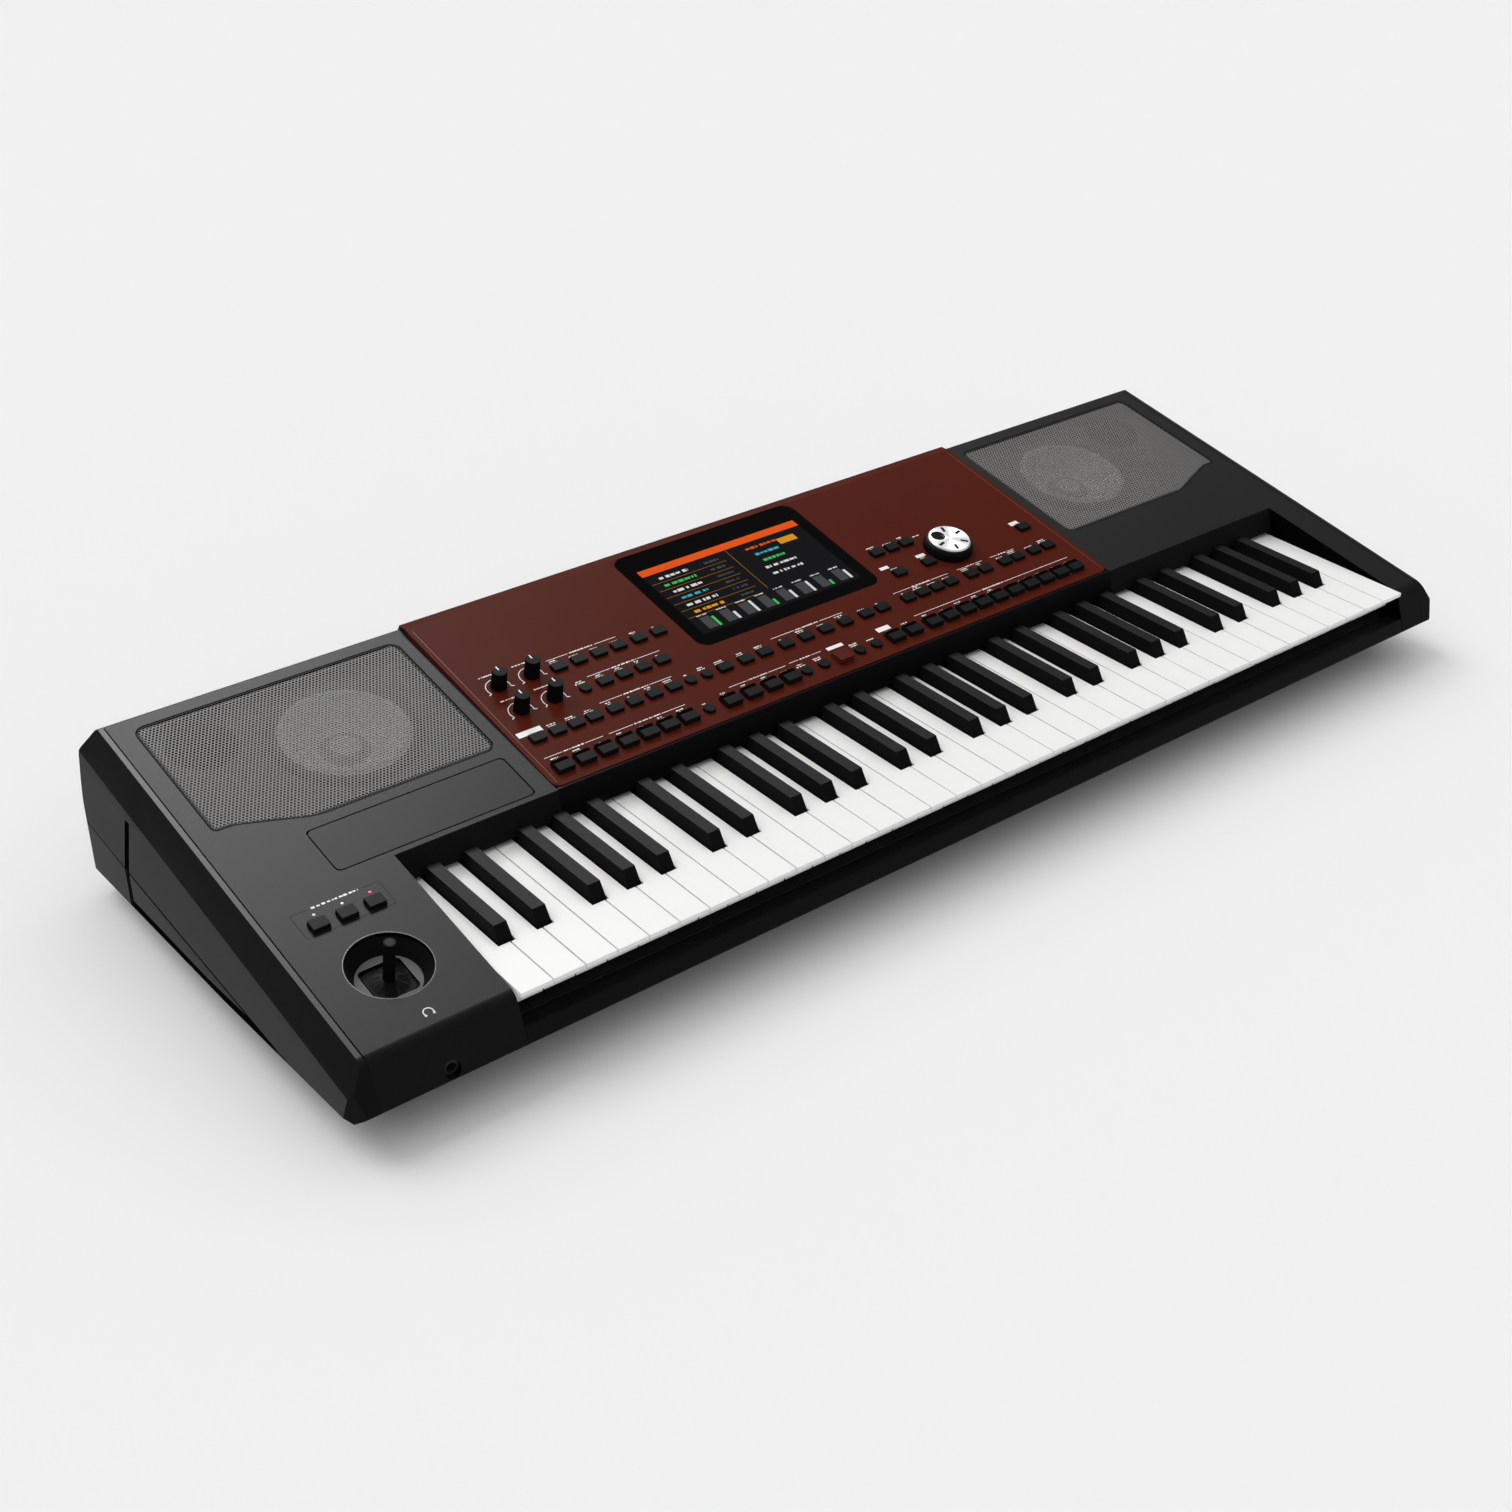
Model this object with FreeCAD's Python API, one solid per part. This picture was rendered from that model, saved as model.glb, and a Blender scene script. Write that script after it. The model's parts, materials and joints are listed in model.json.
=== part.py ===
import FreeCAD, Part
import math
import os

# Arranger keyboard: 61 keys, two speakers behind grilles, a raised panel with a display, and a joystick.
# Lengths are in millimetres. X runs to the player's right, Y to the rear, Z up.
# The origin lies on the floor under the middle of the casing.

V = FreeCAD.Vector
ORIGIN = V(0, 0, 0)
X_AXIS = V(1, 0, 0)
Z_AXIS = V(0, 0, 1)
TINY = 1e-6

# Casing
DEPTH = 355.0
DECK_REAR_Z = 125.0
DECK_FRONT_Z = 65.0
WALL = 3.0
CHAMFER_IN = 18.0
CHAMFER_DROP = 18.0
FLARE_IN = 6.5
FLARE_DROP = 42.0
REAR_CHAMFER_IN = 8.0
REAR_CHAMFER_DROP = 15.0
FRONT_LEAN = 11.8
NOSE_Z = 34.0
DECK_EDGE_R = 10.0
NOSE_R = 2.5
REAR_EDGE_R = 3.0
FOOT_H = 5.0
FOOT_R = 10.0
FOOT_IN_X = 69.0
FOOT_IN_Y = 60.0
BELLY_IN = 19.0
BELLY_IN_FRONT = 40.0
BELLY_IN_REAR = 9.0
BELLY_RISE = 17.0
BELLY_FRONT_LIFT = 14.0
CORNER_IN_X = 13.0
CORNER_IN_Y = 19.0
CORNER_R = 15.0
REAR_CORNER_IN = 6.0
SEAM_REAR_Z = 62.0
SEAM_FRONT_Z = 23.0
TRIM_W = 4.0
GROOVE_W = 1.6
GROOVE_DEPTH = 1.2
GROOVE_FROM_REAR = 71.0
GROOVE_TOP_Z = 90.0
OVERRUN = 5.0

# Keys
KEY_PITCH = 23.5
OCTAVES = 5
KEYS_FROM_LEFT = 122.6
KEYS_FROM_RIGHT = 49.4
KEY_GAP = 1.0
KEY_TOP_Z = 66.8
KEY_H = 16.0
KEY_SKIN = 2.4
KEY_SETBACK = 7.9
KEY_SHOWN = 133.6
HEAD_LENGTH = 47.0
LIP_T = 3.2
LIP_OUT = 12.0
SHARP_W = 11.0
SHARP_TOP_W = 9.4
SHARP_H = 10.4
SHARP_SLOPE = 6.5
SHARP_BODY_DROP = 1.6
SHARP_GAP = 0.8
SLOT_GAP = 0.8
PIVOT_BEHIND = 72.5
PIVOT_BELOW = 10.8
PIVOT_R = 2.5
PIVOT_CLEAR = 0.05
BOSS_W = 9.0
BOSS_R = 6.0
KEY_DIP_ROOM = 10.4
FELT_T = 2.6
FELT_W = 14.0
FELT_BACK = 16.0
CHASSIS_T = 2.0
CHASSIS_Z = 30.0
EAR_T = 2.0
DOME_R = 3.2
DOME_UNDER = 44.0
BOARD_T = 1.6
CONTACT_BOARD_W = 40.0
CONTACT_BOARD_BACK = 108.0
STANDOFF_H = 4.0
LEG_W = 16.0

# Key slot
FASCIA_GAP = 7.0
FASCIA_LEAN = 5.5
FASCIA_OVER_KEYS = 3.5
RAIL_Z = 42.5
RAIL_GAP = 1.6
RAIL_RIDGE = 1.5

# Control panel
PANEL_W = 528.0
PANEL_T = 4.0
PANEL_LEDGE = 2.0
PANEL_RIM = 8.0
PANEL_LIFT_FRONT = 0.8
PANEL_LIFT_REAR = 3.9
PANEL_CORNER_R = 6.0
SEAT_W = 5.0
ROW_4_CLEAR = 2.8
ROW_UP_SHARES = (0.503, 0.342, 0.1815)
DIAL_BESIDE_SHARE = 0.284
ROW_1_SHARES = (-0.593, -0.496, -0.399, -0.302, -0.200, -0.101, 0.116, 0.205, 0.287)
ROW_2_SHARES = (-0.482, -0.388, -0.294, -0.199, 0.111, DIAL_BESIDE_SHARE, 0.869)
ROW_3_SHARES = (-0.937, -0.876, -0.818, -0.761, -0.695, -0.632, -0.568, -0.503, -0.330, -0.257, -0.191,
                -0.114, -0.042, 0.030, 0.102, 0.181, 0.243, 0.343, 0.399, 0.456, 0.512, 0.595, 0.652,
                0.733, 0.786, 0.855, 0.914)
ROW_4_SHARES = (-0.942, -0.875, -0.808, -0.741, -0.675, -0.610, -0.545, -0.402, -0.332, -0.262, -0.196,
                0.186, 0.253, 0.330, 0.395, 0.461, 0.526, 0.591, 0.656, 0.720, 0.783, 0.845, 0.907)
ROUND_2_SHARES = (-0.575,)
ROUND_3_SHARES = (-0.446, -0.391)
ROUND_4_SHARES = (-0.474, -0.138, -0.076, 0.055, 0.116)
START_SHARE = -0.009
KNOB_SHARES = (-0.869, -0.715)
KNOB_UP_SHARES = (0.5135, 0.352)
DIAL_FROM_BUTTON = 1.6
DIAL_FROM_ROW = 11.6
BRACE_FROM_GLASS = 8.0
BRACE_FROM_EDGE = 13.2
BRACE_R = 2.6

# Buttons
CAP_SPACING = 3.0
CAP_D = 7.8
CAP_H = 2.8
STEP_CAP_SPACING = 3.4
STEP_CAP_D = 11.4
STEP_CAP_H = 4.2
STEP_DROP = 1.0
STEP_SHARE = 0.36
ROUND_CAP_R = 4.3
ROUND_CAP_H = 2.4
HOLE_CLEAR = 0.3
UNDER_GAP = 0.3
FLANGE_OUT = 0.9
FLANGE_T = 1.2
STEM_R = 1.6
STEM_L = 1.5
BUTTON_TRAVEL = 0.8
SWITCH_GAP = 0.15
SWITCH_W = 6.2
SWITCH_H = 4.0

# Knobs and dial
KNOB_R = 5.9
KNOB_TOP_R = 5.2
KNOB_H = 14.0
SHAFT_R = 3.0
SHAFT_CLEAR = 0.05
KNOB_LIFT = 0.6
KNOB_ROOF = 2.0
KNOB_RIB_R = 0.5
KNOB_RIBS = 18
POT_W = 9.6
DIAL_R = 19.8
DIAL_RING_T = 2.6
DIAL_H = 9.5
DIAL_RING_DROP = 2.2
DIAL_TOP_SHARE = 0.94
DIMPLE_R = 4.4
DIMPLE_SHARE = 0.55
DIMPLE_DEPTH = 1.2
ENCODER_W = 13.0

# Display
GLASS_W = 174.0
GLASS_UP_SHARE = 0.331
GLASS_T = 2.0
GLASS_DROP = 0.3
GLASS_CLEAR = 0.2
GLASS_CORNER_R = 6.0
LCD_SIDE_IN = 4.0
LCD_FRONT_IN = 5.0
LCD_REAR_IN = 12.0

# Grilles and speakers
GRILLE_FROM_PANEL = 11.0
GRILLE_FROM_TRIM = 14.5
GRILLE_REAR_IN = 12.0
GRILLE_BEHIND_FASCIA = 55.0
GRILLE_OGEE_RISE = 18.0
GRILLE_OGEE_SHARES = (0.68, 0.93)
GRILLE_OGEE_R = 45.0
GRILLE_CORNER_R = 9.0
GRILLE_T = 1.2
GRILLE_DROP = 0.2
GRILLE_GAP = 0.4
GRILLE_LEDGE = 3.5
BAFFLE_T = 5.0
BAFFLE_DROP = 9.0
BOX_WALL = 3.0
BOX_CLEAR = 1.0
BOX_MARGIN = 4.0
DRIVER_SHARE = 0.38
DRIVER_UP_SHARE = 0.532
DRIVER_R = 45.0
DRIVER_FLANGE = 7.0
DRIVER_FLANGE_T = 2.5
DRIVER_CONE_DEPTH = 13.0
DUST_CAP_R = 18.0
DUST_CAP_RISE = 5.0
DUST_CAP_SHOULDER_SHARE = 0.8
MAGNET_R = 34.0
MAGNET_H = 18.0
BASKET_DEPTH = 40.0
PORT_SHARE = 0.82
PORT_UP_SHARE = 0.81
PORT_R = 24.0
PORT_LENGTH = 45.0

# Badge plate
BADGE_W = 146.0
BADGE_D = 40.5
BADGE_T = 1.6
BADGE_FROM_PANEL = 14.0
BADGE_BEHIND_FASCIA = 25.0
BADGE_GROOVE = 0.7
BADGE_CORNER_R = 4.0

# Joystick and assignable switches
STICK_FROM_LEFT = 71.0
STICK_FROM_FRONT = 69.5
WELL_R = 26.8
WELL_FLOOR_R = 20.6
WELL_DEPTH = 13.0
WELL_FLOOR_T = 2.0
WELL_WALL = 2.5
WELL_TOTAL = 30.0
WELL_HOLE_W = 29.0
WELL_HOLE_R = 4.0
GIMBAL_DOWN = 22.0
GIMBAL_W = 34.0
GIMBAL_BAR = 4.0
GIMBAL_H = 4.0
TRUNNION_R = 2.0
TRUNNION_CLEAR = 0.05
STICK_R = 3.8
STICK_UP = 19.0
SHIELD_W = 26.0
SHIELD_T = 1.6
SHIELD_DOWN = 14.6
BOOT_RISE = 3.4
BOOT_COLLAR = 1.2
SHIELD_CORNER_R = 5.0
SWITCH_BEHIND_STICK = 48.5
SWITCH_PITCH = 19.2
SWITCH_CAP_W = 11.6
SWITCH_CAP_D = 8.8
SWITCH_CAP_H = 3.2
SWITCH_BOARD_W = 64.0
SWITCH_BOARD_D = 17.0
POST_R = 2.6

# Sockets
JACK_BORE_R = 3.25
JACK_NOSE_R = 5.5
JACK_BORE_L = 26.0
JACK_BODY_W = 15.0
JACK_BODY_L = 30.0
JACK_PITCH = 28.0
JACK_COUNT = 4
JACK_FIRST_SHARE = -0.92
SOCKET_Z = 84.0
PHONES_Z = 40.0
PHONES_RECESS = 1.5
MIDI_R = 8.6
MIDI_RECESS_R = 7.2
MIDI_RECESS = 9.0
MIDI_LENGTH = 20.0
MIDI_PITCH = 25.0
MIDI_COUNT = 3
MIDI_FIRST_SHARE = -0.40
USB_W = 16.0
USB_H = 14.0
USB_MOUTH_W = 12.4
USB_MOUTH_H = 10.6
USB_HOST_MOUTH_H = 5.2
USB_LENGTH = 22.0
USB_RECESS = 14.0
USB_SHARES = (-0.04, 0.08)
INLET_W = 26.0
INLET_H = 19.0
INLET_MOUTH_W = 17.0
INLET_MOUTH_H = 9.0
INLET_RECESS = 13.0
INLET_LENGTH = 24.0
INLET_SHARE = 0.90
POWER_SHARE = 0.72
POWER_R = 6.5
POWER_FLANGE = 1.6
POWER_LENGTH = 12.0

# Inner boards and fasteners
MAIN_BOARD_W = 250.0
MAIN_BOARD_D = 80.0
MAIN_BOARD_SHARE = -0.114
MAIN_BOARD_FROM_REAR = 69.0
MAIN_BOARD_Z = 18.0
CHIP_SHARES = ((-0.3, 0.1, 0.10), (0.0, -0.1, 0.14), (0.28, 0.15, 0.09), (0.3, -0.25, 0.07))
CHIP_T = 2.4
SUPPLY_W = 110.0
SUPPLY_D = 80.0
SUPPLY_H = 34.0
SUPPLY_SHARE = 0.674
SUPPLY_SKIN = 1.5
SUPPLY_FIN = 3.0
SUPPLY_FINS = 7
BOARD_POST_IN = 7.0
BOARD_POST_R = 4.0
SCREW_R = 1.75
SCREW_CLEAR = 0.25
SCREW_HEAD_R = 3.7
SCREW_HEAD_T = 1.9
SCREW_L = 13.0
SCREW_SLOT_R = 1.3
SCREW_SLOT_DEPTH = 1.0
PILLAR_R = 4.5
PILLAR_IN = 18.0
PILLAR_BESIDE_SLOT = 1.0
PILLAR_FRONT = 50.0
PILLAR_REAR_BEHIND_FASCIA = 36.0
LEG_SHARES = (-0.36, 0.0, 0.36)
LEG_FRONT_BACK = 50.0
LEG_REAR_BEFORE_PIVOT = 14.0

# Places that follow from the sizes above
WHITE_COUNT = 7 * OCTAVES + 1
WIDTH = KEYS_FROM_LEFT + WHITE_COUNT * KEY_PITCH + KEYS_FROM_RIGHT
HALF_W = WIDTH / 2
HALF_PANEL = PANEL_W / 2
HALF_GLASS = GLASS_W / 2
FRONT_Y = -DEPTH / 2
REAR_Y = DEPTH / 2
DECK_FRONT_Y = FRONT_Y + FRONT_LEAN
DECK_REAR_Y = REAR_Y - REAR_CHAMFER_IN
TRIM_X = HALF_W - CHAMFER_IN - TRIM_W
FLOOR_Z = FOOT_H + WALL
BEYOND = 2 * DECK_REAR_Z
KEYS_X = -HALF_W + KEYS_FROM_LEFT
KEYS_END_X = KEYS_X + WHITE_COUNT * KEY_PITCH
SLOT_LEFT = KEYS_X - SLOT_GAP
SLOT_RIGHT = KEYS_END_X + SLOT_GAP
KEY_FRONT_Y = FRONT_Y + KEY_SETBACK
KEY_REAR_Y = KEY_FRONT_Y + KEY_SHOWN
HEAD_REAR_Y = KEY_FRONT_Y + HEAD_LENGTH
KEY_FOOT_Z = KEY_TOP_Z - KEY_H
PIVOT_Y = KEY_REAR_Y + PIVOT_BEHIND
PIVOT_Z = KEY_TOP_Z - PIVOT_BELOW
FASCIA_Y = KEY_REAR_Y + FASCIA_GAP
FASCIA_FOOT_Y = FASCIA_Y - FASCIA_LEAN
FASCIA_FOOT_Z = KEY_TOP_Z + FASCIA_OVER_KEYS
PANEL_FRONT_Y = FASCIA_Y + PANEL_LEDGE
PANEL_REAR_Y = DECK_REAR_Y - PANEL_RIM
ROW_4_UP = SEAT_W + FLANGE_OUT + STEP_CAP_D / 2 + ROW_4_CLEAR
BEHIND_ROW_4 = PANEL_REAR_Y - PANEL_FRONT_Y - ROW_4_UP
ROW_1_UP, ROW_2_UP, ROW_3_UP = (ROW_4_UP + share * BEHIND_ROW_4 for share in ROW_UP_SHARES)
KNOB_REAR_UP, KNOB_FRONT_UP = (ROW_4_UP + share * BEHIND_ROW_4 for share in KNOB_UP_SHARES)
GLASS_UP = ROW_4_UP + GLASS_UP_SHARE * BEHIND_ROW_4
BOARD_DROP = (PANEL_T + UNDER_GAP + FLANGE_T + STEM_L + BUTTON_TRAVEL + SWITCH_GAP + SWITCH_H)
SWITCH_BOARD_DROP = BOARD_DROP - PANEL_T + WALL
FELT_TOP_Z = KEY_FOOT_Z - KEY_DIP_ROOM
GRILLE_INNER_X = HALF_PANEL + GRILLE_FROM_PANEL
GRILLE_OUTER_X = TRIM_X - GRILLE_FROM_TRIM
GRILLE_W = GRILLE_OUTER_X - GRILLE_INNER_X
GRILLE_FRONT_Y = FASCIA_Y + GRILLE_BEHIND_FASCIA
GRILLE_REAR_Y = DECK_REAR_Y - GRILLE_REAR_IN
GRILLE_D = GRILLE_REAR_Y - GRILLE_FRONT_Y
DRIVER_X = GRILLE_INNER_X + DRIVER_SHARE * GRILLE_W
DRIVER_Y = GRILLE_FRONT_Y + DRIVER_UP_SHARE * GRILLE_D
PORT_X = GRILLE_INNER_X + PORT_SHARE * GRILLE_W
PORT_Y = GRILLE_FRONT_Y + PORT_UP_SHARE * GRILLE_D
BADGE_X = -HALF_PANEL - BADGE_FROM_PANEL - BADGE_W / 2
STICK_X = -HALF_W + STICK_FROM_LEFT
STICK_Y = FRONT_Y + STICK_FROM_FRONT
SWITCH_Y = STICK_Y + SWITCH_BEHIND_STICK
MAIN_BOARD_X = MAIN_BOARD_SHARE * HALF_PANEL
MAIN_BOARD_Y = REAR_Y - MAIN_BOARD_FROM_REAR
SUPPLY_X = SUPPLY_SHARE * HALF_PANEL


def across(shares):
    """Places along the panel from shares of its half width."""
    return [share * HALF_PANEL for share in shares]


def beside(shares):
    """Places to the left and right of the display, from shares of the width that it leaves there."""
    return [math.copysign(HALF_GLASS, share) + share * (HALF_PANEL - HALF_GLASS) for share in shares]


def smallest_step(places):
    """The least distance between neighbours along a row."""
    return min(after - before for before, after in zip(places, places[1:]))


BUTTON_ROWS = {"row_1": (beside(ROW_1_SHARES), ROW_1_UP), "row_2": (beside(ROW_2_SHARES), ROW_2_UP),
               "row_3": (across(ROW_3_SHARES), ROW_3_UP), "row_4": (across(ROW_4_SHARES), ROW_4_UP)}
CAP_W = min(smallest_step(BUTTON_ROWS[row][0]) for row in ("row_1", "row_2", "row_3")) - CAP_SPACING
STEP_CAP_W = smallest_step(BUTTON_ROWS["row_4"][0]) - STEP_CAP_SPACING


class Slope:
    """A surface that rises steadily towards the rear, from one height at one place to another."""

    def __init__(self, front_y, front_z, rear_y, rear_z):
        self.front_y = front_y
        self.front_z = front_z
        self.rise = (rear_z - front_z) / (rear_y - front_y)
        self.tilt = math.degrees(math.atan(self.rise))
        self.stretch = math.hypot(1, self.rise)

    def z(self, y):
        """Height of the surface at a place along the depth."""
        return self.front_z + self.rise * (y - self.front_y)

    def over(self, y, height):
        """Height of a level that lies over the surface by a distance taken square to it."""
        return self.z(y) + height * self.stretch

    def seat(self, shape, x, y):
        """Tips a shape that was drawn on the level, and sets its origin down on the surface."""
        seated = shape.copy()
        seated.rotate(ORIGIN, X_AXIS, self.tilt)
        seated.translate(V(x, y, self.z(y)))
        return seated


DECK = Slope(DECK_FRONT_Y, DECK_FRONT_Z, DECK_REAR_Y, DECK_REAR_Z)
PANEL = Slope(PANEL_FRONT_Y, DECK.z(PANEL_FRONT_Y) + PANEL_LIFT_FRONT,
              PANEL_REAR_Y, DECK.z(PANEL_REAR_Y) + PANEL_LIFT_REAR)
SEAM = Slope(FRONT_Y, SEAM_FRONT_Z, REAR_Y, SEAM_REAR_Z)


# Outlines and plain solids


def meet(first, second):
    """The crossing of two lines, each a point and a direction."""
    (ax, ay), (dx, dy) = first
    (bx, by), (ex, ey) = second
    along = ((bx - ax) * ey - (by - ay) * ex) / (dx * ey - dy * ex)
    return (ax + along * dx, ay + along * dy)


def inset(points, distance):
    """A counter-clockwise outline with every side moved inwards."""
    lines = []
    for start, end in zip(points, points[1:] + points[:1]):
        dx, dy = end[0] - start[0], end[1] - start[1]
        length = math.hypot(dx, dy)
        shift = (-dy / length * distance, dx / length * distance)
        lines.append(((start[0] + shift[0], start[1] + shift[1]), (dx, dy)))
    return [meet(lines[i - 1], lines[i]) for i in range(len(lines))]


def round_corner(before, corner, after, radius):
    """Start, middle and end of the arc that rounds a corner, or the bare corner for no radius."""
    if radius < TINY:
        return corner, None, corner
    back = V(before[0] - corner[0], before[1] - corner[1], 0).normalize()
    ahead = V(after[0] - corner[0], after[1] - corner[1], 0).normalize()
    half = back.getAngle(ahead) / 2
    tangent = radius / math.tan(half)
    middle = (back + ahead).normalize() * (radius / math.sin(half) - radius)
    here = V(corner[0], corner[1], 0)
    spots = (here + back * tangent, here + middle, here + ahead * tangent)
    return tuple((spot.x, spot.y) for spot in spots)


def outline(points, radii, lift):
    """A face inside rounded corners; lift takes a flat point into space."""
    count = len(points)
    arcs = [round_corner(points[i - 1], points[i], points[(i + 1) % count], radii[i]) for i in range(count)]
    edges = []
    for i, (start, middle, end) in enumerate(arcs):
        if middle is not None:
            edges.append(Part.Arc(lift(*start), lift(*middle), lift(*end)).toShape())
        following = arcs[(i + 1) % count][0]
        if math.dist(end, following) > TINY:
            edges.append(Part.LineSegment(lift(*end), lift(*following)).toShape())
    return Part.Face(Part.Wire(edges))


def sharp(points):
    """No rounding at any corner."""
    return [0.0] * len(points)


def prism_x(points, x0, x1, radii=None):
    """A solid with an outline in Y and Z, drawn along X."""
    face = outline(points, radii or sharp(points), lambda y, z: V(x0, y, z))
    return face.extrude(V(x1 - x0, 0, 0))


def prism_y(points, y0, y1, rise=0.0):
    """A solid with an outline in X and Z, drawn along Y, climbing by rise for each unit of length."""
    face = outline(points, sharp(points), lambda x, z: V(x, y0, z))
    return face.extrude(V(0, y1 - y0, rise * (y1 - y0)))


def prism_z(points, z0, z1, radii=None):
    """A solid with an outline in X and Y, drawn along Z."""
    face = outline(points, radii or sharp(points), lambda x, y: V(x, y, z0))
    return face.extrude(V(0, 0, z1 - z0))


def block(x0, x1, y0, y1, z0, z1):
    """A box between two places on each axis, in either order."""
    low = V(min(x0, x1), min(y0, y1), min(z0, z1))
    return Part.makeBox(abs(x1 - x0), abs(y1 - y0), abs(z1 - z0), low)


def tile(width, depth, z0, z1, radius=0.0):
    """A box, or a box with rounded upright edges, centred on the origin."""
    points = rectangle(-width / 2, width / 2, -depth / 2, depth / 2)
    return prism_z(points, z0, z1, [radius] * len(points))


def disc(radius, z0, z1):
    """An upright cylinder centred on the origin."""
    return Part.makeCylinder(radius, z1 - z0, V(0, 0, z0))


def bar_x(radius, x0, x1, y, z):
    """A cylinder along X."""
    return Part.makeCylinder(radius, x1 - x0, V(x0, y, z), X_AXIS)


def bar_y(radius, y0, y1, x, z):
    """A cylinder along Y."""
    return Part.makeCylinder(radius, y1 - y0, V(x, y0, z), V(0, 1, 0))


def turned(points):
    """A solid of revolution about Z from an outline of radius and height."""
    face = outline(points, sharp(points), lambda r, z: V(r, 0, z))
    return face.revolve(ORIGIN, Z_AXIS, 360)


def rectangle(x0, x1, y0, y1):
    """A counter-clockwise rectangle."""
    return [(x0, y0), (x1, y0), (x1, y1), (x0, y1)]


def joined(pieces):
    """One solid from pieces that meet."""
    return pieces[0].multiFuse(pieces[1:]).removeSplitter()


def layer(surface, low, high, x0=-HALF_W, x1=HALF_W, y0=FRONT_Y, y1=REAR_Y):
    """The space between two levels over a sloping surface, taken square to it."""
    return prism_x([(y0, surface.over(y0, low)), (y1, surface.over(y1, low)),
                    (y1, surface.over(y1, high)), (y0, surface.over(y0, high))], x0, x1)


def sheet(points, radii, surface, low, high):
    """A plate of a given plan outline that lies along a sloping surface."""
    return prism_z(points, 0, BEYOND, radii).common(layer(surface, low, high))


# Casing


def case_body(drawn_in):
    """The whole outer form, with every face drawn in by the same distance."""
    climb = (CHAMFER_IN - FLARE_IN) / CHAMFER_DROP
    peak_x = HALF_W - CHAMFER_IN - climb * CHAMFER_DROP
    out_x = HALF_W + OVERRUN
    flare_foot = -CHAMFER_DROP - FLARE_DROP * (1 + OVERRUN / FLARE_IN)
    section = [(-out_x, -BEYOND), (out_x, -BEYOND), (out_x, flare_foot), (HALF_W - FLARE_IN, -CHAMFER_DROP),
               (peak_x, CHAMFER_DROP), (-peak_x, CHAMFER_DROP), (-HALF_W + FLARE_IN, -CHAMFER_DROP),
               (-out_x, flare_foot)]
    start_y = FRONT_Y - OVERRUN
    raised = [(x, z + DECK.z(start_y)) for x, z in inset(section, drawn_in)]
    sides = prism_y(raised, start_y, REAR_Y + OVERRUN, DECK.rise)
    profile = [(FRONT_Y + BELLY_IN_FRONT, FOOT_H), (REAR_Y - BELLY_IN_REAR, FOOT_H),
               (REAR_Y, FOOT_H + BELLY_RISE), (REAR_Y, DECK_REAR_Z - REAR_CHAMFER_DROP),
               (DECK_REAR_Y, DECK_REAR_Z), (DECK_FRONT_Y, DECK_FRONT_Z), (FRONT_Y, NOSE_Z)]
    bends = [max(radius - drawn_in, 0.0) for radius in
             (0.0, 0.0, 0.0, REAR_EDGE_R, REAR_EDGE_R, DECK_EDGE_R, NOSE_R)]
    lengthwise = prism_x(inset(profile, drawn_in), -out_x, out_x, bends)
    corner_slant = CORNER_IN_X / CORNER_IN_Y
    nose_x = HALF_W - CORNER_IN_X - corner_slant * OVERRUN
    end_y = REAR_Y + OVERRUN
    end_x = HALF_W - REAR_CORNER_IN - OVERRUN
    plan = [(-nose_x, start_y), (nose_x, start_y), (HALF_W, FRONT_Y + CORNER_IN_Y),
            (HALF_W, REAR_Y - REAR_CORNER_IN), (end_x, end_y), (-end_x, end_y),
            (-HALF_W, REAR_Y - REAR_CORNER_IN), (-HALF_W, FRONT_Y + CORNER_IN_Y)]
    turn = max(CORNER_R - drawn_in, 0.0)
    turns = [turn, turn, turn, turn, 0.0, 0.0, turn, turn]
    upright = prism_z(inset(plan, drawn_in), -OVERRUN, BEYOND, turns)
    under = BELLY_IN / BELLY_RISE
    climb_y = -BELLY_FRONT_LIFT / DEPTH
    lift = climb_y * (start_y - REAR_Y)
    sunk = BELLY_FRONT_LIFT + OVERRUN
    belly_x = HALF_W - BELLY_IN - under * (FOOT_H + sunk)
    top_x, top_z = HALF_W + under * BEYOND, FOOT_H + BELLY_RISE + BEYOND
    belly = [(-belly_x, -sunk), (belly_x, -sunk), (top_x, top_z), (-top_x, top_z)]
    raised = [(x, z + lift) for x, z in inset(belly, drawn_in)]
    beneath = prism_y(raised, start_y, REAR_Y + OVERRUN, climb_y)
    return lengthwise.common(sides).common(upright).common(beneath)


def side_of_seam(upper):
    """The space above or below the joint between the upper casing and the tray."""
    front, rear = FRONT_Y - OVERRUN, REAR_Y + OVERRUN
    edge = BEYOND if upper else -BEYOND
    points = [(front, SEAM.z(front)), (rear, SEAM.z(rear)), (rear, edge), (front, edge)]
    out_x = HALF_W + OVERRUN
    return prism_x(points if upper else points[::-1], -out_x, out_x)


def groove_band():
    """The shallow upright groove that runs down both sides near the rear."""
    skin = case_body(0.0).cut(case_body(GROOVE_DEPTH))
    y0 = REAR_Y - GROOVE_FROM_REAR
    strip = block(-HALF_W - OVERRUN, HALF_W + OVERRUN, y0, y0 + GROOVE_W, FOOT_H + BELLY_RISE, GROOVE_TOP_Z)
    middle = block(-TRIM_X, TRIM_X, y0, y0 + GROOVE_W, 0, BEYOND)
    return skin.common(strip).cut(middle)


def pillar_places():
    """Where the upper covers stand on the tray: plan places left and right of the keys."""
    front = FRONT_Y + PILLAR_FRONT
    rear = FASCIA_Y + PILLAR_REAR_BEHIND_FASCIA
    left = [(x, y) for x in (-TRIM_X + PILLAR_IN, SLOT_LEFT - WALL - PILLAR_IN) for y in (front, rear)]
    right = [(SLOT_RIGHT + WALL + PILLAR_BESIDE_SLOT + PILLAR_R, y) for y in (front, rear)]
    return left, right


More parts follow.
